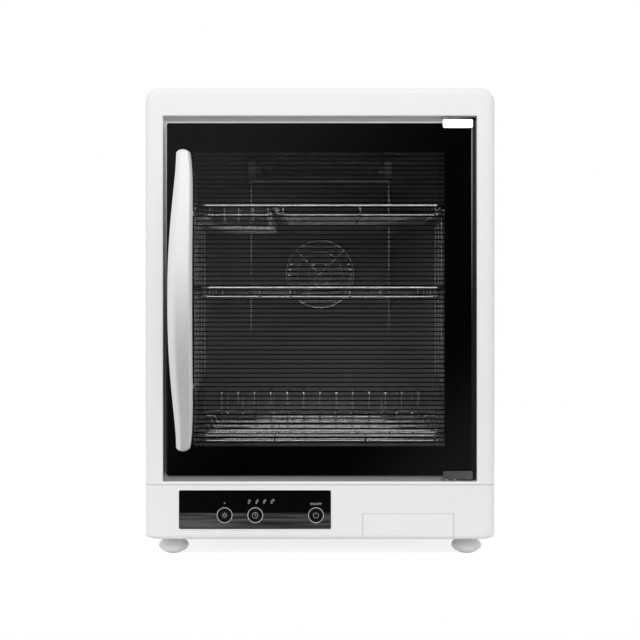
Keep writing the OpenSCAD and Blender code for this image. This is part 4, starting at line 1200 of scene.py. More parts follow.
    def posts(self) -> None:
        """Turns the two posts: a waist between a foot on the glass and a flare under the grip."""
        low, high = corners("handle_posts")
        middle = (low[2] + high[2]) / 2
        shape = Shape()
        r = self.post / 2
        depth = high[1] - low[1]
        h = np.linspace(0, 1, 14)
        waist = r * (0.9 + 0.1 * (2 * h - 1) ** 4)
        profile = np.column_stack([waist, low[1] - self.post_sink + h * (depth + self.post_sink)])
        profile = np.vstack([profile, [[r - self.post_edge, high[1]]]])
        profile[-2, 1] -= self.post_edge
        for s in (-1, 1):
            centre = (low[0] + r, 0.0, middle + s * self.post_span / 2)
            shape.turned(profile, centre, Turn.ALONG_Y, 48)
        DOOR.take(shape.build("grip_posts", 50.0), PEARL, ["handle_posts"])


# ---- hinges and seal


@dataclass
class Hinges:
    """The brackets, bushes and screws on the cabinet's side, the seal and the catch."""

    seal_width: float = 0.006
    seal_corner: float = 0.008
    seal_foot: float = 0.0012    # thickness of its flat foot

    def build(self) -> None:
        """Builds and dresses the hinge parts, the seal and the magnet."""
        for node in ("hinge_bracket_top", "hinge_bracket_bottom"):
            evened(softened(node, CABINET, CHROME, 0.0003))
        evened(softened("hinge_bushes", CABINET, MATTE, 0.0002))
        evened(softened("bracket_screws", CABINET, STEEL, 0.0004))
        evened(softened("catch_magnet", CABINET, MATTE, 0.0006))
        self.seal()

    def seal(self) -> None:
        """Carries the seal's section round the mouth: a flat foot, and a bulb that meets the door.

        A point of the section at angle t lies at width / 2 (1 - cos t) from the outer edge, each of its
        cos and sin taken to the power 0.8, and the seal's corner radius shrinks by that distance.
        """
        low, high = corners("door_gasket")
        depth = high[1] - low[1]
        t = arc(0, 180, 11)
        bulb = np.sign(np.cos(t)) * np.abs(np.cos(t)) ** 0.8
        foot, rise = high[1] - self.seal_foot, depth - self.seal_foot
        places = [(self.seal_width / 2 * (1 - c), foot - rise * s ** 0.8)
                  for c, s in zip(bulb, np.clip(np.sin(t), 0, 1))]
        places = [(0.0, high[1])] + places + [(self.seal_width, high[1])]
        rings = [standing(rounded(low[0] + d, low[2] + d, high[0] - d, high[2] - d,
                                  max(self.seal_corner - d, 0.002), max(self.seal_corner - d, 0.002)), y)
                 for d, y in places]
        CABINET.take(Shape().loft(np.array(rings), True).build("door_seal_bulb", 60.0), SEAL,
                     ["door_gasket"])


# ---- cavity


@dataclass
class Cavity:
    """The polished liner, its louvres and drain, the lamp, its guard and the side frames."""

    louvre: float = 0.0022       # how far a louvre stands in front of the rear wall
    louvre_high: float = 0.0021  # half its height
    louvre_wall: float = 0.0006  # thickness of its hood
    louvre_front: float = 0.0005   # and at its front
    fan_field: float = 0.052     # radius of the round field of louvres before the fan
    field_pitch: float = 0.009   # from one louvre of the field to the next
    top_pitch: float = 0.044     # and in the row under the top
    top_half: float = 0.017      # half the length of a louvre of that row
    top_drop: float = 0.007      # from the liner's top to that row
    rail: float = 0.004
    upright: float = 0.003
    weld: float = 0.0002         # how deep welded wires sink into each other
    seat: float = 0.0003         # from a rail to the rim that slides on it
    racks: tuple[str, str, str] = ("rack_bottom", "rack_middle", "rack_top")
    foot_step: float = 0.004     # from the ends of a side frame to its first upright
    foot_up: float = 0.006       # and from its top and its foot to the wires that hold it
    foot_wire: float = 0.004
    column_pitch: float = 0.058  # largest step between uprights
    stand_off: float = 0.0032    # thickness of the guard's stand-offs
    guard_bend: float = 0.004
    guard_feet: tuple[float, float] = (0.003, 0.009)   # from its legs' ends and its bar to those
    tube_round: float = 0.003    # rounding of the lamp's ends
    lead: float = 0.014          # length of the lamp's leads
    lead_gap: float = 0.0025     # from the lamp's axis to a lead
    lead_wire: float = 0.0007    # thickness of a lead
    coil_half: float = 0.0035    # half the length of an electrode
    coil: float = 0.0016         # and its thickness

    def build(self) -> None:
        """Builds and dresses everything that is fixed inside the cavity."""
        for node in ("liner_left", "liner_right", "liner_top", "liner_floor", "liner_rear"):
            dress(node, LINER)
        self.louvres()
        evened(softened("drain_funnel", CABINET, CERAMIC, 0.0005))
        self.lamp()
        self.rear_guard()
        self.side_frame("side_frame_left", -1)
        self.side_frame("side_frame_right", 1)

    def louvres(self) -> None:
        """Adds a pressed hood over each slot of the rear wall.

        A hood is half of a flat ellipse in section, louvre_high times sin t up and louvre times cos t
        forward. It keeps its size along the slot and shrinks over the last 15 percent of each half.
        """
        y = corners("liner_rear")[0][1]
        guard_low, guard_high = corners("fan_guard")
        fan_z = (guard_low[2] + guard_high[2]) / 2
        rise = self.field_pitch * np.arange(-5, 6)
        slots = [(0.0, math.sqrt(self.fan_field ** 2 - h ** 2), fan_z + h) for h in rise]
        top = corners("liner_top")[0][2] - self.top_drop
        slots += [(self.top_pitch * i, self.top_half, top) for i in range(-3, 4)]
        t = arc(-90, 90, 9)
        shape = Shape()
        ends = ((-1.0, 0.25), (-0.94, 0.8), (-0.85, 1.0), (0.85, 1.0), (0.94, 0.8), (1.0, 0.25))
        for x, half, z in slots:
            sections = []
            for step, size in ends:
                top_z = z + self.louvre_wall + self.louvre_high * size * np.sin(t)
                outer = np.column_stack([np.full(len(t), x + half * step),
                                         y - self.louvre * size * np.cos(t), top_z])
                inner = outer[::-1] - [0.0, 0.0, self.louvre_wall]
                inner[:, 1] = y - (self.louvre - self.louvre_front) * size * np.cos(t[::-1])
                sections.append(np.vstack([outer, inner]))
            shape.loft(np.array(sections))
        CABINET.take(shape.build("rear_louvres", 40.0), LINER)

    def lamp(self) -> None:
        """Turns the quartz tube, its electrodes and its two caps, and softens the holders."""
        low, high = corners("uv_lamp")
        centre = (0.0, (low[1] + high[1]) / 2, (low[2] + high[2]) / 2)
        r, end = (high[2] - low[2]) / 2, high[0]
        a, bend = arc(0, 90, 7), self.tube_round
        tip = np.column_stack([r - bend * (1 - np.sin(a)), -end + bend * (1 - np.cos(a))])
        profile = np.vstack([[[0.002, -end]], tip[1:], (tip * [1, -1])[::-1][:-1], [[0.002, end]]])
        CABINET.take(Shape().turned(profile, centre, Turn.ALONG_X, 40).build("quartz_lamp", 50.0),
                     QUARTZ, ["uv_lamp"])
        wires = Shape()
        for s in (-1, 1):
            tip_x = s * (end - self.lead)
            for side in (-self.lead_gap, self.lead_gap):
                path = np.array([[s * (end - 0.0005), centre[1], centre[2] + side],
                                 [tip_x, centre[1], centre[2] + side]])
                wires.tube(path, self.lead_wire, (0, 1, 0), 8)
            bar = np.column_stack([np.full(12, tip_x), np.full(12, centre[1]),
                                   centre[2] + np.linspace(-self.coil_half, self.coil_half, 12)])
            wires.tube(bar, self.coil, (0, 1, 0), 10)
        CABINET.take(wires.build("lamp_electrodes", 50.0), STEEL)
        caps = Shape()
        for s in (-1, 1):
            inner, outer = end + FACE_GAP, corners("lamp_caps")[1][0]
            profile = np.array([[0.001, inner], [r - 0.0004, inner], [r, inner + 0.0004],
                                [r, inner + 0.002], [r - 0.0003, inner + 0.0024], [r, inner + 0.0028],
                                [r, outer - 0.0008], [r - 0.0008, outer], [0.001, outer]])
            profile[:, 1] *= s
            caps.turned(profile, centre, Turn.ALONG_X, 40)
        CABINET.take(caps.build("lamp_cap_pair", 30.0), CAP, ["lamp_caps"])
        evened(softened("lamp_holders", CABINET, CERAMIC, 0.0012))

    def rear_guard(self) -> None:
        """Bends the wires that guard the lamp: a bar across and two legs on stand-offs."""
        low, high = corners("rear_guard")
        y = low[1] + self.rail / 2
        leg, top = high[0] - self.rail / 2, high[2] - self.rail / 2
        shape = Shape()
        path = bent([[-leg, y, low[2]], [-leg, y, top], [leg, y, top], [leg, y, low[2]]], self.guard_bend)
        shape.tube(path, self.rail, (0, 1, 0), 16)
        for s in (-1, 1):
            for z in (low[2] + self.guard_feet[0], top - self.guard_feet[1]):
                shape.tube(np.array([[s * leg, y, z], [s * leg, high[1], z]]), self.stand_off, (1, 0, 0), 12)
        CABINET.take(shape.build("lamp_guard_wires", 60.0), WIRE, ["rear_guard"])

    def side_frame(self, node: str, s: int) -> None:
        """Builds one ladder of wires: uprights, and the rails that carry the racks.

        Args:
            node: The frame's node.
            s: -1 on the left and 1 on the right.
        """
        low, high = corners(node)
        inner, outer = (high[0], low[0]) if s < 0 else (low[0], high[0])
        rail_x = inner + s * self.rail / 2
        frame_x = rail_x + s * ((self.rail + self.upright) / 2 - self.weld)
        shape = Shape()
        y0, y1 = low[1] + self.foot_step, high[1] - self.foot_step
        columns = math.ceil((y1 - y0) / self.column_pitch)
        for y in np.linspace(y0, y1, columns + 1):
            shape.tube(np.array([[frame_x, y, low[2]], [frame_x, y, high[2]]]), self.upright, (0, 1, 0), 12)
        below = math.sqrt((self.rail + self.seat) ** 2 - (self.rail / 2) ** 2)
        for rack in self.racks:
            z = corners(rack)[1][2] - self.rail / 2 - below
            shape.tube(np.array([[rail_x, low[1], z], [rail_x, high[1], z]]), self.rail, (1, 0, 0), 16)
        for y in (y0, y1):
            for z in (low[2] + self.foot_up, high[2] - self.foot_up):
                shape.tube(np.array([[frame_x, y, z], [outer, y, z]]), self.foot_wire, (0, 1, 0), 12)
        CABINET.take(shape.build(node + "_wires", 60.0), WIRE, [node])


# ---- racks


@dataclass
class Racks:
    """The three wire racks, the cutlery basket and the plate insert."""

    rim: float = 0.004           # thickness of the rim's wire
    wire: float = 0.0026         # of the cross wires
    spine: float = 0.0032        # and of the lengthwise wires
    drop: float = 0.014          # from the rim to the floor
    flange: float = 0.0175       # width of the flange between rim and floor
    pitch: float = 0.0198        # from one cross wire to the next
    weld: float = 0.0002         # how deep welded wires sink into each other
    clear: float = 0.0003        # from a cross wire's end to the rim's middle, and from rim to basket
    top_spines: tuple[float, ...] = (0.056,)   # places of the lengthwise wires between the outer two
    middle_spines: tuple[float, ...] = (-0.084, -0.0415, 0.0415, 0.084)
    bottom_spines: tuple[float, ...] = (-0.063, 0.063)
    rim_bend: float = 0.007
    wire_bend: float = 0.004
    spine_bend: float = 0.005
    basket_wire: float = 0.0022
    basket_bend: float = 0.0035
    basket_gap: float = 0.004
    basket_pitch: float = 0.0203
    hoop_pitch: float = 0.026    # about from one hoop of the basket to the next
    mesh_height: float = 0.018   # height of the basket's side
    ring_drops: tuple[float, ...] = (0.0, 0.28, 0.72)   # places of the rings, as shares of that height
    plate_wire: float = 0.003
    plate_bend: float = 0.010
    plate_pitch: float = 0.025

    def build(self) -> None:
        """Builds and dresses the racks and what stands in them."""
        inner = corners("cutlery_basket")[1][0] - self.basket_wire / 2 + self.basket_gap
        self.rack("rack_top", "top_rack", self.top_spines, inner)
        self.rack("rack_middle", "middle_rack", self.middle_spines, None)
        self.rack("rack_bottom", "bottom_rack", self.bottom_spines, None)
        self.basket()
        self.plates()

    def rack(self, node: str, body: str, spines: Sequence[float], inner: float | None) -> None:
        """Bends and welds the wires of one rack.

        Args:
            node: The rack's node.
            body: The body that it rides on.
            spines: Places of the lengthwise wires between the outer two.
            inner: Place of the rim beside the basket, or None where the rack is whole.
        """
        low, high = corners(node)
        y0, y1 = low[1] + self.rim / 2, high[1] - self.rim / 2
        rim_x, rim_z = high[0] - self.rim / 2, high[2] - self.rim / 2
        floor_x = rim_x - self.flange
        start = self.clear - rim_x if inner is None else inner - 0.001
        left = -floor_x if inner is None else inner + 0.008
        floor_z = rim_z - self.drop + self.wire / 2
        spine_z = floor_z - (self.wire + self.spine) / 2 + self.weld
        flange_z = rim_z - (self.rim + self.wire) / 2 + self.weld
        x0 = left + self.wire_bend + self.spine / 2
        x1 = floor_x - self.wire_bend - self.spine / 2
        shape = Shape()
        shape.tube(bent([[-rim_x, y0, rim_z], [rim_x, y0, rim_z], [rim_x, y1, rim_z], [-rim_x, y1, rim_z]],
                        self.rim_bend, 9, True), self.rim, (0, 0, 1), 16, True)
        if inner is not None:
            z = rim_z - 0.001
            shape.tube(np.array([[inner, y0, z], [inner, y1, z]]), self.spine, (1, 0, 0), 12)
        count = int((y1 - y0 - 2 * self.spine_bend) / self.pitch + 1e-6)
        first = (y0 + y1 - count * self.pitch) / 2
        for i in range(count + 1):
            y = first + i * self.pitch
            if i % 3:
                path = np.array([[x0 - self.spine / 2, y, floor_z], [x1 + self.spine / 2, y, floor_z]])
            else:
                path = bent([[start, y, flange_z], [left, y, flange_z], [left, y, floor_z],
                             [floor_x, y, floor_z], [floor_x, y, flange_z],
                             [rim_x - self.clear, y, flange_z]], self.wire_bend)
            shape.tube(path, self.wire, (0, 1, 0), 12)
        for x in (x0, x1, *spines):
            path = bent([[x, y0, rim_z], [x, y0, spine_z], [x, y1, spine_z], [x, y1, rim_z]],
                        self.spine_bend)
            shape.tube(path, self.spine, (1, 0, 0), 12)
        Body(body).take(shape.build(node + "_wires", 60.0), WIRE, [node])

    def basket(self) -> None:
        """Bends the cutlery basket: three rings, hoops, and floor wires hooked over the rack's rims."""
        low, high = corners("cutlery_basket")
        d = self.basket_wire
        lap = d - self.weld
        x0, x1 = low[0] + d / 2, high[0] - d / 2
        hook_z = high[2] - d / 2
        rack_low, rack_high = corners("rack_top")
        y0 = rack_low[1] + self.rim + d / 2 + self.clear
        y1 = rack_high[1] - self.rim - d / 2 - self.clear
        z1 = low[2] + d / 2 + self.mesh_height
        z0 = z1 - self.mesh_height
        z_end = z1 + 0.0006
        shape = Shape()
        for z in (z1 - drop * self.mesh_height for drop in self.ring_drops):
            shape.tube(bent([[x0, y0, z], [x1, y0, z], [x1, y1, z], [x0, y1, z]], self.basket_bend, 6, True),
                       d, (0, 0, 1), 12, True)
        hoops = round((y1 - y0) / self.hoop_pitch)
        left, right = x0 + lap, x1 - lap
        for y in np.linspace(y0, y1, hoops + 1)[1:-1]:
            shape.tube(bent([[left, y, z_end], [left, y, z0], [right, y, z0], [right, y, z_end]],
                            self.basket_bend), d, (0, 1, 0), 10)
        for x in np.arange(x1 - 2 * lap, x0 + lap, -self.basket_pitch):
            bar = [[x, low[1], hook_z], [x, y0 + lap, hook_z], [x, y0 + lap, z0 + lap],
                   [x, y1 - lap, z0 + lap], [x, y1 - lap, hook_z], [x, high[1], hook_z]]
            shape.tube(bent(bar, self.basket_bend), d, (1, 0, 0), 10)
        Body("basket").take(shape.build("cutlery_basket_wires", 60.0), WIRE,
                            ["cutlery_basket"])

    def plates(self) -> None:
        """Bends the closed hoops between which plates stand, and welds them to three cross wires."""
        low, high = corners("plate_rack")
        d = self.plate_wire
        y0, y1 = low[1] + d / 2, high[1] - d / 2
        z0, z1 = low[2] + d / 2, high[2] - d / 2
        half = high[0] - d
        cross = z0 + d - self.weld
        shape = Shape()
        for y in (y0 + self.plate_bend + d, (y0 + y1) / 2, y1 - self.plate_bend - d):
            shape.tube(np.array([[low[0], y, cross], [high[0], y, cross]]), d, (0, 1, 0), 12)
        for x in np.arange(-half, half + d, self.plate_pitch):
            shape.tube(bent([[x, y0, z0], [x, y1, z0], [x, y1, z1], [x, y0, z1]], self.plate_bend, 9, True),
                       d, (1, 0, 0), 12, True)
        Body("plate_insert").take(shape.build("plate_hoops", 60.0), WIRE, ["plate_rack"])


# ---- fan


@dataclass
class Fan:
    """The warm-air fan behind the liner: guard, housing, motor, rotor and heater."""

    blades: int = 7
    hub: float = 0.020
    guard_wire: float = 0.0024
    spoke: float = 1.02          # half the length of a spoke, as a share of the guard's radius
    guard_foot: float = 0.917    # place of the stand-offs, as a share of it
    foot_wire: float = 0.0036
    drum: float = 0.0188         # length of the hub
    chord: float = 0.0065        # half the length of a blade's section
    blade_thick: float = 0.0008  # and half its thickness
    blade_turn: tuple[float, float] = (50.0, 32.0)   # its turn at the hub and at the tip, in degrees
    around: int = 18

    def build(self) -> None:
        """Builds and dresses the fan, its guard and its heater."""
        self.guard()
        evened(softened("fan_housing", CABINET, MATTE, 0.0006))
        evened(softened("fan_stator", CABINET, COPPER, 0.0006))
        evened(softened("ptc_heater", CABINET, FINS, 0.0004))
        self.rotor()

    def guard(self) -> None:
        """Bends the guard's rings and spokes and its four stand-offs."""
        low, high = corners("fan_guard")
        y = low[1] + self.guard_wire / 2
        z = (low[2] + high[2]) / 2
        reach = high[0] - self.guard_wire / 2
        shape = Shape()
        turn = np.linspace(0, 2 * np.pi, 64, endpoint=False)
        for share in (1 / 3, 2 / 3, 1.0):
            ring = np.column_stack([reach * share * np.cos(turn), np.full(64, y),
                                    z + reach * share * np.sin(turn)])
            shape.tube(ring, self.guard_wire, (0, 1, 0), 12, True)
        for a in np.radians([45.0, 135.0]):
            way = np.array([math.cos(a), 0.0, math.sin(a)])
            middle = np.array([0.0, y + self.guard_wire - 0.0002, z])
            end = way * reach * self.spoke
            shape.tube(np.array([middle - end, middle + end]), self.guard_wire, (0, 1, 0), 12)
            for s in (-1, 1):
                foot = middle + s * way * reach * self.guard_foot
                back = foot.copy()
                back[1] = high[1]
                shape.tube(np.array([foot, back]), self.foot_wire, (1, 0, 0), 12)
        CABINET.take(shape.build("fan_guard_wires", 60.0), WIRE, ["fan_guard"])

    def rotor(self) -> None:
        """Turns the hub and shaft and sweeps the blades.

        At distance r, a blade's section is a flat ellipse, twice chord long and twice blade_thick thick,
        which turns evenly from the hub to the tip. The tip is drawn in over the last 15 percent.
        """
        low, high = corners("fan_rotor")
        house_low, house_high = corners("fan_housing")
        z = (house_low[2] + house_high[2]) / 2
        centre = (0.0, 0.0, z)
        front, back, inside = low[1], low[1] + self.drum, self.hub - 0.002
        shape = Shape()
        dome = np.array([[0.001, front], [0.012, front + 0.0001], [0.0175, front + 0.0007],
                         [0.0193, front + 0.0018], [self.hub, front + 0.004], [self.hub, back],
                         [inside, back], [inside, front + 0.003], [0.001, front + 0.003]])
        shape.turned(dome, centre, Turn.ALONG_Y, 64)
        shape.turned(np.array([[0.0015, front + 0.002], [0.0015, high[1]]]), centre, Turn.ALONG_Y, 20)
        reach = np.linspace(self.hub - 0.0008, (high[0] - low[0]) / 2, 9)
        share = (reach - reach[0]) / (reach[-1] - reach[0])
        pitch = np.radians(np.interp(share, (0.0, 1.0), self.blade_turn))[:, None]
        round_tip = np.sqrt(np.maximum(0.05, 1 - np.maximum(0, (share - 0.85) / 0.15) ** 3))[:, None]
        t = np.linspace(0, 2 * np.pi, self.around, endpoint=False)
        chord = self.chord * round_tip * np.cos(t)
        thick = self.blade_thick * np.sin(t)
        blade = np.stack([np.broadcast_to(reach[:, None], chord.shape),
                          chord * np.cos(pitch) - thick * np.sin(pitch),
                          chord * np.sin(pitch) + thick * np.cos(pitch)], axis=-1)
        middle = (front + back) / 2
        for i in range(self.blades):
            a = 2 * np.pi * i / self.blades
            turned = np.stack([blade[..., 0] * math.cos(a) + blade[..., 2] * math.sin(a),
                               blade[..., 1] + middle,
                               -blade[..., 0] * math.sin(a) + blade[..., 2] * math.cos(a) + z], axis=-1)
            shape.loft(turned)
        Body("fan").take(shape.build("fan_blades", 40.0), MATTE, ["fan_rotor"])


# ---- controls


class Button(Enum):
    """The three push buttons, each with its body and its sign."""

    LAMP = "uv"
    TIMER = "timer"
    POWER = "power"


@dataclass
class Controls:
    """The control panel with its film, buttons, lights and marks, and the board behind it."""

    mark: float = 0.00005        # how far a printed mark stands out
    stroke: float = 0.00055      # width of a sign's stroke
    letter: float = 0.0042       # height of the letters
    lean: float = 45.0           # slope of the numbers, in degrees
    band_high: float = 0.0218    # height of the streaked band
    light_pitch: float = 0.0104  # from one light of the timer to the next
    light_shift: float = 0.0066  # from the timer button to the middle of its lights
    number_up: float = 0.0028    # from the lights up to their numbers
    number_right: float = 0.0012   # and to the right
    word_down: float = 0.0012    # from the lights down to the word over the power button
    ring_wall: float = 0.00075   # width of a button's ring
    ring_flat: float = 0.0005    # from its outer edge to where its face slopes inwards
    ring_edge: float = 0.00015   # rounding of its outer edge
    ring_slope: float = 0.0003   # how deep the slope goes
    cap_edge: float = 0.0006     # rounding of a button's cap
    cap_dish: float = 0.00012    # depth of the dish in its face
    stem: float = 0.009          # length of its stem
    stem_half: float = 0.003     # and half its thickness

    def build(self) -> None:
        """Builds and dresses the panel and what is behind it."""
        low, _ = corners("control_panel")
        film = PanelGloss("panel_film", (0.003, 0.003, 0.003), 0.07, depth=0.00001, uneven=0.0, ior=1.4,
                          band=(float(low[2]), float(low[2]) + self.band_high))
        evened(softened("control_panel", CABINET, film, 0.0003))
        self.rings()
        self.lights()
        for button in Button:
            self.button(button)
        self.marks(low)
        evened(softened("control_board", CABINET, BOARD, 0.0003))
        evened(softened("power_supply", CABINET, CASE, 0.0015))

    def centre(self, button: Button) -> tuple[float, float]:
        """Returns the middle of a button in x and z."""
        low, high = corners("button_" + button.value)
        return (low[0] + high[0]) / 2, (low[2] + high[2]) / 2

    def timer_lights(self) -> list[float]:
        """Returns the places in x of the four lights over the timer button."""
        middle = self.centre(Button.TIMER)[0] + self.light_shift
        return [middle + self.light_pitch * i for i in (-1.5, -0.5, 0.5, 1.5)]

    def rings(self) -> None:
        """Carries each ring's section round its button: at angle t, (r cos t, y, r sin t)."""
        low, high = corners("button_rings")
        r = (high[2] - low[2]) / 2
        hole, face, back = r - self.ring_wall, low[1], high[1]
        profile = np.array([[r, back], [r, face + self.ring_edge], [r - self.ring_edge, face],
                            [r - self.ring_flat, face], [hole, face + self.ring_slope], [hole, back],
                            [r - 0.8 * self.ring_wall, back]])
        away, y = profile[:, 0, None], profile[:, 1, None]
        shape = Shape()
        t = np.linspace(0, 2 * np.pi, 96, endpoint=False)
        for button in Button:
            x, z = self.centre(button)
            section = np.broadcast_arrays(x + away * np.cos(t), y, z + away * np.sin(t))
            shape.loft(np.stack(section, axis=-1), True)
        CABINET.take(shape.build("button_ring_set", 30.0), RING, ["button_rings"])

    def lights(self) -> None:
        """Turns the light guides, each with a domed tip."""
        low, high = corners("light_guides")
        places = [self.centre(Button.LAMP)[0]] + self.timer_lights()
        z = (low[2] + high[2]) / 2
        a = arc(90, 10, 6)
        r = (high[2] - low[2]) / 2
        tip = np.column_stack([r * np.cos(a), low[1] + r * 0.4 * (1 - np.sin(a))])
        profile = np.vstack([tip[1:], [[r, low[1] + 0.0012], [r, high[1]]]])
        shape = Shape()
        for x in places:
            shape.turned(profile, (x, 0.0, z), Turn.ALONG_Y, 24)
        CABINET.take(shape.build("light_guide_rods", 40.0), LIGHT, ["light_guides"])

    def button(self, button: Button) -> None:
        """Turns one cap: a slightly dished face with a round edge, and the stem behind it.

        Args:
            button: The button.
        """
        node = "button_" + button.value
        low, high = corners(node)
        x, z = self.centre(button)
        r, front = (high[2] - low[2]) / 2, low[1]
        s = np.linspace(0.05, 1.0, 8)
        face = np.column_stack([(r - self.cap_edge) * s, front + self.cap_dish * (1 - s ** 2)])
        a = arc(10, 90, 6)
        bend = self.cap_edge
        edge = np.column_stack([r - bend * (1 - np.sin(a)), front + bend * (1 - np.cos(a))])
        skirt, stem = high[1] - self.stem, self.stem_half
        rest = np.array([[r, skirt], [stem, skirt], [stem, high[1]], [0.0005, high[1]]])
        profile = np.vstack([face, edge, rest])
        body = Body(button.value + "_button")
        body.take(Shape().turned(profile, (x, 0.0, z), Turn.ALONG_Y, 72).build(node + "_cap", 30.0),
                  BUTTON, [node])
        sign = self.sign(button, x, z, front + 0.0001)
        body.take(sign.build(button.value + "_sign", 60.0), PRINT)

    def sign(self, button: Button, x: float, z: float, y: float) -> Shape:
        """Draws the plain sign of a button.

        Args:
            button: The button.
            x: Its middle.
            z: Its middle's height.
            y: The depth of its face.

        Returns:
            The sign's strokes.
        """
        shape = Shape()

        def ring(radius: float, first: float, last: float) -> np.ndarray:
            """Returns an arc about the button's middle, from first to last degrees."""
            a = arc(first, last, 28)
            return np.column_stack([x + radius * np.cos(a), np.full(28, y), z + radius * np.sin(a)])

        def line(r0: float, r1: float, degrees: float) -> np.ndarray:
            """Returns a stroke that points away from the button's middle."""
            way = np.array([math.cos(math.radians(degrees)), 0.0, math.sin(math.radians(degrees))])
            return np.array([x, y, z]) + np.array([[r0], [r1]]) * way

        paths: dict[Button, list[np.ndarray]] = {
            Button.LAMP: [ring(0.0018, 0, 352)] + [line(0.0028, 0.0042, a) for a in range(0, 360, 45)],
            Button.TIMER: [ring(0.0038, 0, 352), line(0.0, 0.0027, 90), line(0.0, 0.002, -30)],
            Button.POWER: [ring(0.0036, 125, 415), line(0.0012, 0.0045, 90)],
        }
        for path in paths[button]:
            shape.tube(path, self.stroke, (0, 1, 0), 8)
        return shape

    def marks(self, low: np.ndarray) -> None:
        """Prints the minutes over the timer button and ON/OFF over the power button.

        Args:
            low: The panel's lowest corner.
        """
        lights = corners("light_guides")
        z = (lights[0][2] + lights[1][2]) / 2
        words = [(text, x + self.number_right, z + self.number_up, self.lean)
                 for text, x in zip(("30", "60", "90", "120"), self.timer_lights())]
        words += [("ON/OFF", self.centre(Button.POWER)[0], z - self.word_down, 0.0)]
        gathered = bmesh.new()
        for text, x, height, lean in words:
            letters = bpy.data.curves.new("letters", "FONT")
            letters.body = text
            letters.size = self.letter
            letters.align_x = "CENTER"
            letters.align_y = "CENTER"
            letters.extrude = self.mark
            holder = bpy.data.objects.new("letters", letters)
            flat = bpy.data.meshes.new_from_object(holder)
            upright = Matrix.Rotation(math.radians(90.0), 4, "X")
            sloped = Matrix.Rotation(math.radians(-lean), 4, "Y") @ upright
            flat.transform(Matrix.Translation((x, low[1], height)) @ sloped)
            gathered.from_mesh(flat)
            bpy.data.objects.remove(holder)
            bpy.data.curves.remove(letters)
            bpy.data.meshes.remove(flat)
        mesh = bpy.data.meshes.new("panel_marks")
        gathered.to_mesh(mesh)
        gathered.free()
        piece = bpy.data.objects.new("panel_marks", mesh)
        bpy.context.scene.collection.objects.link(piece)
        CABINET.take(piece, PRINT)


# ---- drip tray


@dataclass
class DripTray:
    """The pull-out tray: a curved front that follows the lower front's edge, and a tub behind it."""

    edge: float = 0.008          # rounding at the lower edge
    wall: float = 0.002
    plate: float = 0.0032        # thickness of the front
    bin_drop: float = 0.004      # from the front's upper edge to the tub's
    bin_side: float = 0.004      # from the front's side to the tub's
    bin_rise: float = 0.0034     # from the front's lower edge to the tub's
    recess: float = 0.032        # half the width of the finger recess
    recess_deep: float = 0.011
    recess_high: float = 0.016
    overlap: float = 0.0005      # how far the blocks behind the front sink into it

    def build(self) -> None:
        """Builds the tray and its guides."""
        low, high = corners("drip_tray")
        front = low[1]
        shape = Shape()
        shape.loft(self.front_sections(low, high))
        x0, x1 = low[0] + self.bin_side, high[0] - self.bin_side
        z0, z1 = low[2] + self.bin_rise, high[2] - self.bin_drop
        y_in = front + self.plate + self.recess_deep
        y_plate = front + self.plate - self.overlap
        middle = (low[0] + high[0]) / 2
        left, right = middle - self.recess, middle + self.recess
        shape.block((x0, y_plate, z0), (left, y_in, z1))
        shape.block((right, y_plate, z0), (x1, y_in, z1))
        shape.block((left - 0.0002, y_plate, low[2] + self.recess_high), (right + 0.0002, y_in, z1))
        self.tub(shape, x0, x1, y_in - 0.0002, high[1], z0, z1)
        tray = bevel(shape.build("tray_moulding"), 0.0004)
        evened(Body("tray").take(tray, MOULDING, ["drip_tray"]))
        evened(softened("tray_guides", CABINET, GUIDE, 0.0003))

    def front_sections(self, low: np.ndarray, high: np.ndarray) -> np.ndarray:
        """Carries the front's section along X.

        The outer face runs down and turns back under the cabinet on a quarter circle of the edge's
        radius, and the inner face follows it one plate inside.

        Args:
            low: The tray's lowest corner.
            high: Its highest corner.

        Returns:
            The rings of the front.
        """
        a = arc(0, 82, 9)
        outer_y = low[1] + self.edge * (1 - np.cos(a))
        outer_z = low[2] + self.edge * (1 - np.sin(a))
        inner = self.edge - self.plate
        inner_y = low[1] + self.edge - inner * np.cos(a)
        inner_z = low[2] + self.edge - inner * np.sin(a)
        y = np.concatenate([[low[1]], outer_y, inner_y[::-1], [low[1] + self.plate]])
        z = np.concatenate([[high[2]], outer_z, inner_z[::-1], [high[2]]])
        return np.array([np.column_stack([np.full(len(y), x), y, z]) for x in (low[0], high[0])])

    def tub(self, shape: Shape, x0: float, x1: float, y0: float, y1: float, z0: float, z1: float) -> None:
        """Adds the tub: outlines carried up outside, over the rim and down inside.

        Args:
            shape: The shape to add to.
            x0: Left.
            x1: Right.
            y0: Front.
            y1: Back.
            z0: Underside.
            z1: Rim.
        """
        def ring(inset: float, z: float) -> np.ndarray:
            """Works out the tub's outline.

            Args:
                inset: How far it is drawn in on all sides.
                z: Its height.

            Returns:
                Its points.
            """
            radius = max(0.006 - inset, 0.0015)
            flat = rounded(x0 + inset, y0 + inset, x1 - inset, y1 - inset, radius, radius, 7)
            return np.column_stack([flat, np.full(len(flat), z)])

        w = self.wall
        rings = [ring(0.0015, z0), ring(0.0004, z0 + 0.0004), ring(0.0, z0 + 0.0015), ring(0.0, z1 - 0.0006),
                 ring(0.0006, z1), ring(w - 0.0006, z1), ring(w, z1 - 0.0006), ring(w, z0 + w + 0.003),
                 ring(w + 0.0009, z0 + w + 0.0009), ring(w + 0.003, z0 + w)]
        shape.loft(np.array(rings))


# ---- studio


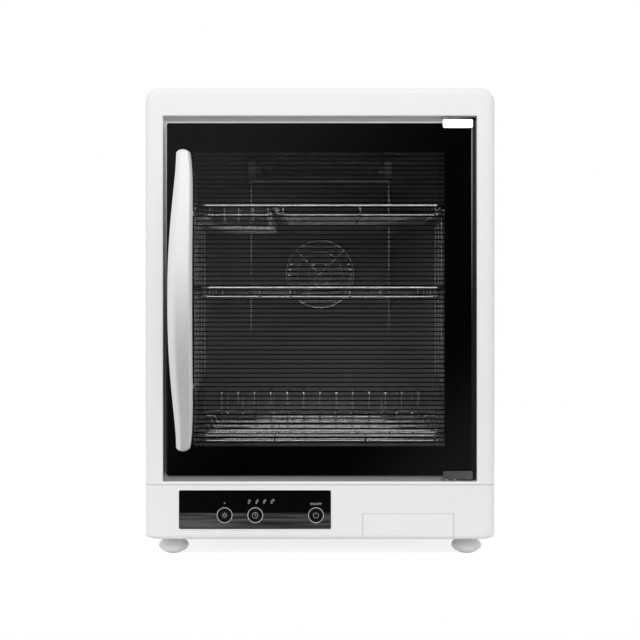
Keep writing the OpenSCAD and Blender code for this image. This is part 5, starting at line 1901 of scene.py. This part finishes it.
@dataclass
class Studio:
    """The floor, the light and the camera."""

    eye: tuple[float, float, float] = (0.0, -1.783, 0.368)
    lens: float = 66.4
    shift: float = -0.05
    floor_half: float = 1.6
    floor_front: float = -0.42   # the floor ends here, so that the low gloss doesn't mirror it
    floor_back: float = 1.8
    floor_matt: float = 0.85     # the floor's white for the light that it throws back
    floor_pale: float = 0.5      # and for what is seen of it, which glows as well
    floor_glow: float = 0.78
    card: tuple[float, float, float] = (0.62, -1.4, 0.985)   # half its width, its foot and its top
    card_y: float = -2.6         # the dark card behind the camera
    glow_left: float = 0.12      # level of the card's glow at its upper left
    glow_right: float = 0.1      # and at its lower right
    ambient: float = 0.48        # level of the light from above and around
    below: float = 0.3           # and of the light from straight below
    side: float = 0.3            # how much brighter it is on the left and the right
    slant: float = 0.06          # how much brighter it is on the left and behind
    key_power: float = 24.0
    key_size: tuple[float, float] = (1.8, 0.7)
    key_place: tuple[float, float, float] = (-0.15, -2.0, 1.45)
    key_aim: tuple[float, float, float] = (0.0, -0.18, 0.4)

    def build(self) -> None:
        """Sets the stage."""
        self.world()
        self.floor()
        self.dark_card()
        self.key()
        self.camera()

    def seen(self, tree: Tree) -> Value:
        """Finds the rays that show the background: those of the camera, of gloss and of glass.

        Args:
            tree: The material's or the world's tree.

        Returns:
            1 for such a ray and 0 for any other.
        """
        rays = tree.node("LightPath")
        parts = [tree.value(rays.outputs[name]) for name in
                 ("Is Camera Ray", "Is Glossy Ray", "Is Transmission Ray")]
        return parts[0] + parts[1] + parts[2]

    def world(self) -> None:
        """Makes a white surrounding that lights the object less from below, from the right and in front."""
        world = bpy.data.worlds.new("studio")
        bpy.context.scene.world = world
        tree = Tree(world)
        right, back, up = tree.axes("Generated")
        level = self.below + (self.ambient - self.below) * up.between(-0.8, 0.0)
        level = level + self.slant * (back - right) + self.side * (right * right)
        grey = tree.node("CombineColor", None, {0: level, 1: level, 2: level})
        lit = tree.node("Background", None, {"Color": grey.outputs[0], "Strength": 1.0})
        white = tree.node("Background", None, {"Color": (1.0, 1.0, 1.0, 1.0), "Strength": 1.0})
        mixed = tree.node("MixShader", None, {0: self.seen(tree), 1: lit.outputs[0], 2: white.outputs[0]})
        tree.node("OutputWorld", None, {"Surface": mixed.outputs[0]})

    def floor(self) -> None:
        """Lays the floor, which shows white apart from the object's shadow."""
        ring = rounded(-self.floor_half, self.floor_front, self.floor_half, self.floor_back, 0.1, 0.1, 6)
        flat = np.column_stack([ring, np.zeros(len(ring))])
        below = flat - [0.0, 0.0, 0.002]
        piece = Shape().loft(np.array([below, flat])).build("floor")
        material = bpy.data.materials.new("floor_white")
        tree = Tree(material)
        matt = tree.node("BsdfDiffuse", None, {"Color": (self.floor_matt,) * 3 + (1.0,)})
        pale = tree.node("BsdfDiffuse", None, {"Color": (self.floor_pale,) * 3 + (1.0,)})
        lift = tree.node("Emission", None, {"Color": (1.0, 1.0, 1.0, 1.0), "Strength": self.floor_glow})
        both = tree.node("AddShader", None, {0: pale.outputs[0], 1: lift.outputs[0]})
        mixed = tree.node("MixShader", None, {0: self.seen(tree), 1: matt.outputs[0], 2: both.outputs[0]})
        tree.node("OutputMaterial", None, {"Surface": mixed.outputs[0]})
        piece.data.materials.append(material)

    def dark_card(self) -> None:
        """Hangs a dark card behind the camera, as photographers do, which glass and chrome mirror."""
        half, foot, top = self.card
        ring = rounded(-half, foot, half, top, 0.05, 0.05, 4)
        piece = Shape().loft(np.array([standing(ring, self.card_y - 0.01), standing(ring, self.card_y)]))
        made = piece.build("dark_card")
        material = bpy.data.materials.new("card_black")
        tree = Tree(material)
        across, _, up = tree.axes()
        glow = (up * 0.7 - across).between(0.1, 1.1) * self.glow_left
        glow = glow + (across - up).between(0.25, 0.85) * self.glow_right
        level = tree.node("CombineColor", None, {0: glow, 1: glow, 2: glow})
        light = tree.node("Emission", None, {"Color": level.outputs[0], "Strength": 1.0})
        tree.node("OutputMaterial", None, {"Surface": light.outputs[0]})
        made.data.materials.append(material)
        made.visible_camera = False
        made.visible_diffuse = False
        made.visible_shadow = False

    def key(self) -> None:
        """Hangs the broad soft lamp above and behind the camera, where the door doesn't mirror it."""
        lamp = bpy.data.lights.new("key", "AREA")
        lamp.shape = "RECTANGLE"
        lamp.size, lamp.size_y = self.key_size
        lamp.energy = self.key_power
        holder = bpy.data.objects.new("key", lamp)
        bpy.context.scene.collection.objects.link(holder)
        holder.location = self.key_place
        aim = Vector(self.key_aim) - Vector(self.key_place)
        holder.rotation_euler = aim.to_track_quat("-Z", "Y").to_euler()

    def camera(self) -> None:
        """Stands the camera where the photograph was taken."""
        lens = bpy.data.cameras.new("camera")
        lens.lens = self.lens
        lens.sensor_width = 36.0
        lens.shift_y = self.shift
        holder = bpy.data.objects.new("camera", lens)
        bpy.context.scene.collection.objects.link(holder)
        holder.location = self.eye
        holder.rotation_euler = (math.radians(90.0), 0.0, 0.0)
        bpy.context.scene.camera = holder


def main() -> None:
    """Builds every sub-assembly in order, then the studio."""
    logging.basicConfig(level=logging.INFO, format="%(message)s")
    bpy.context.scene.view_settings.view_transform = "Standard"
    for part in (Casing(), Door(), Hinges(), Cavity(), Racks(), Fan(), Controls(), DripTray()):
        LOG.info("building %s", type(part).__name__)
        part.build()
    Studio().build()


if __name__ == "__main__":
    main()
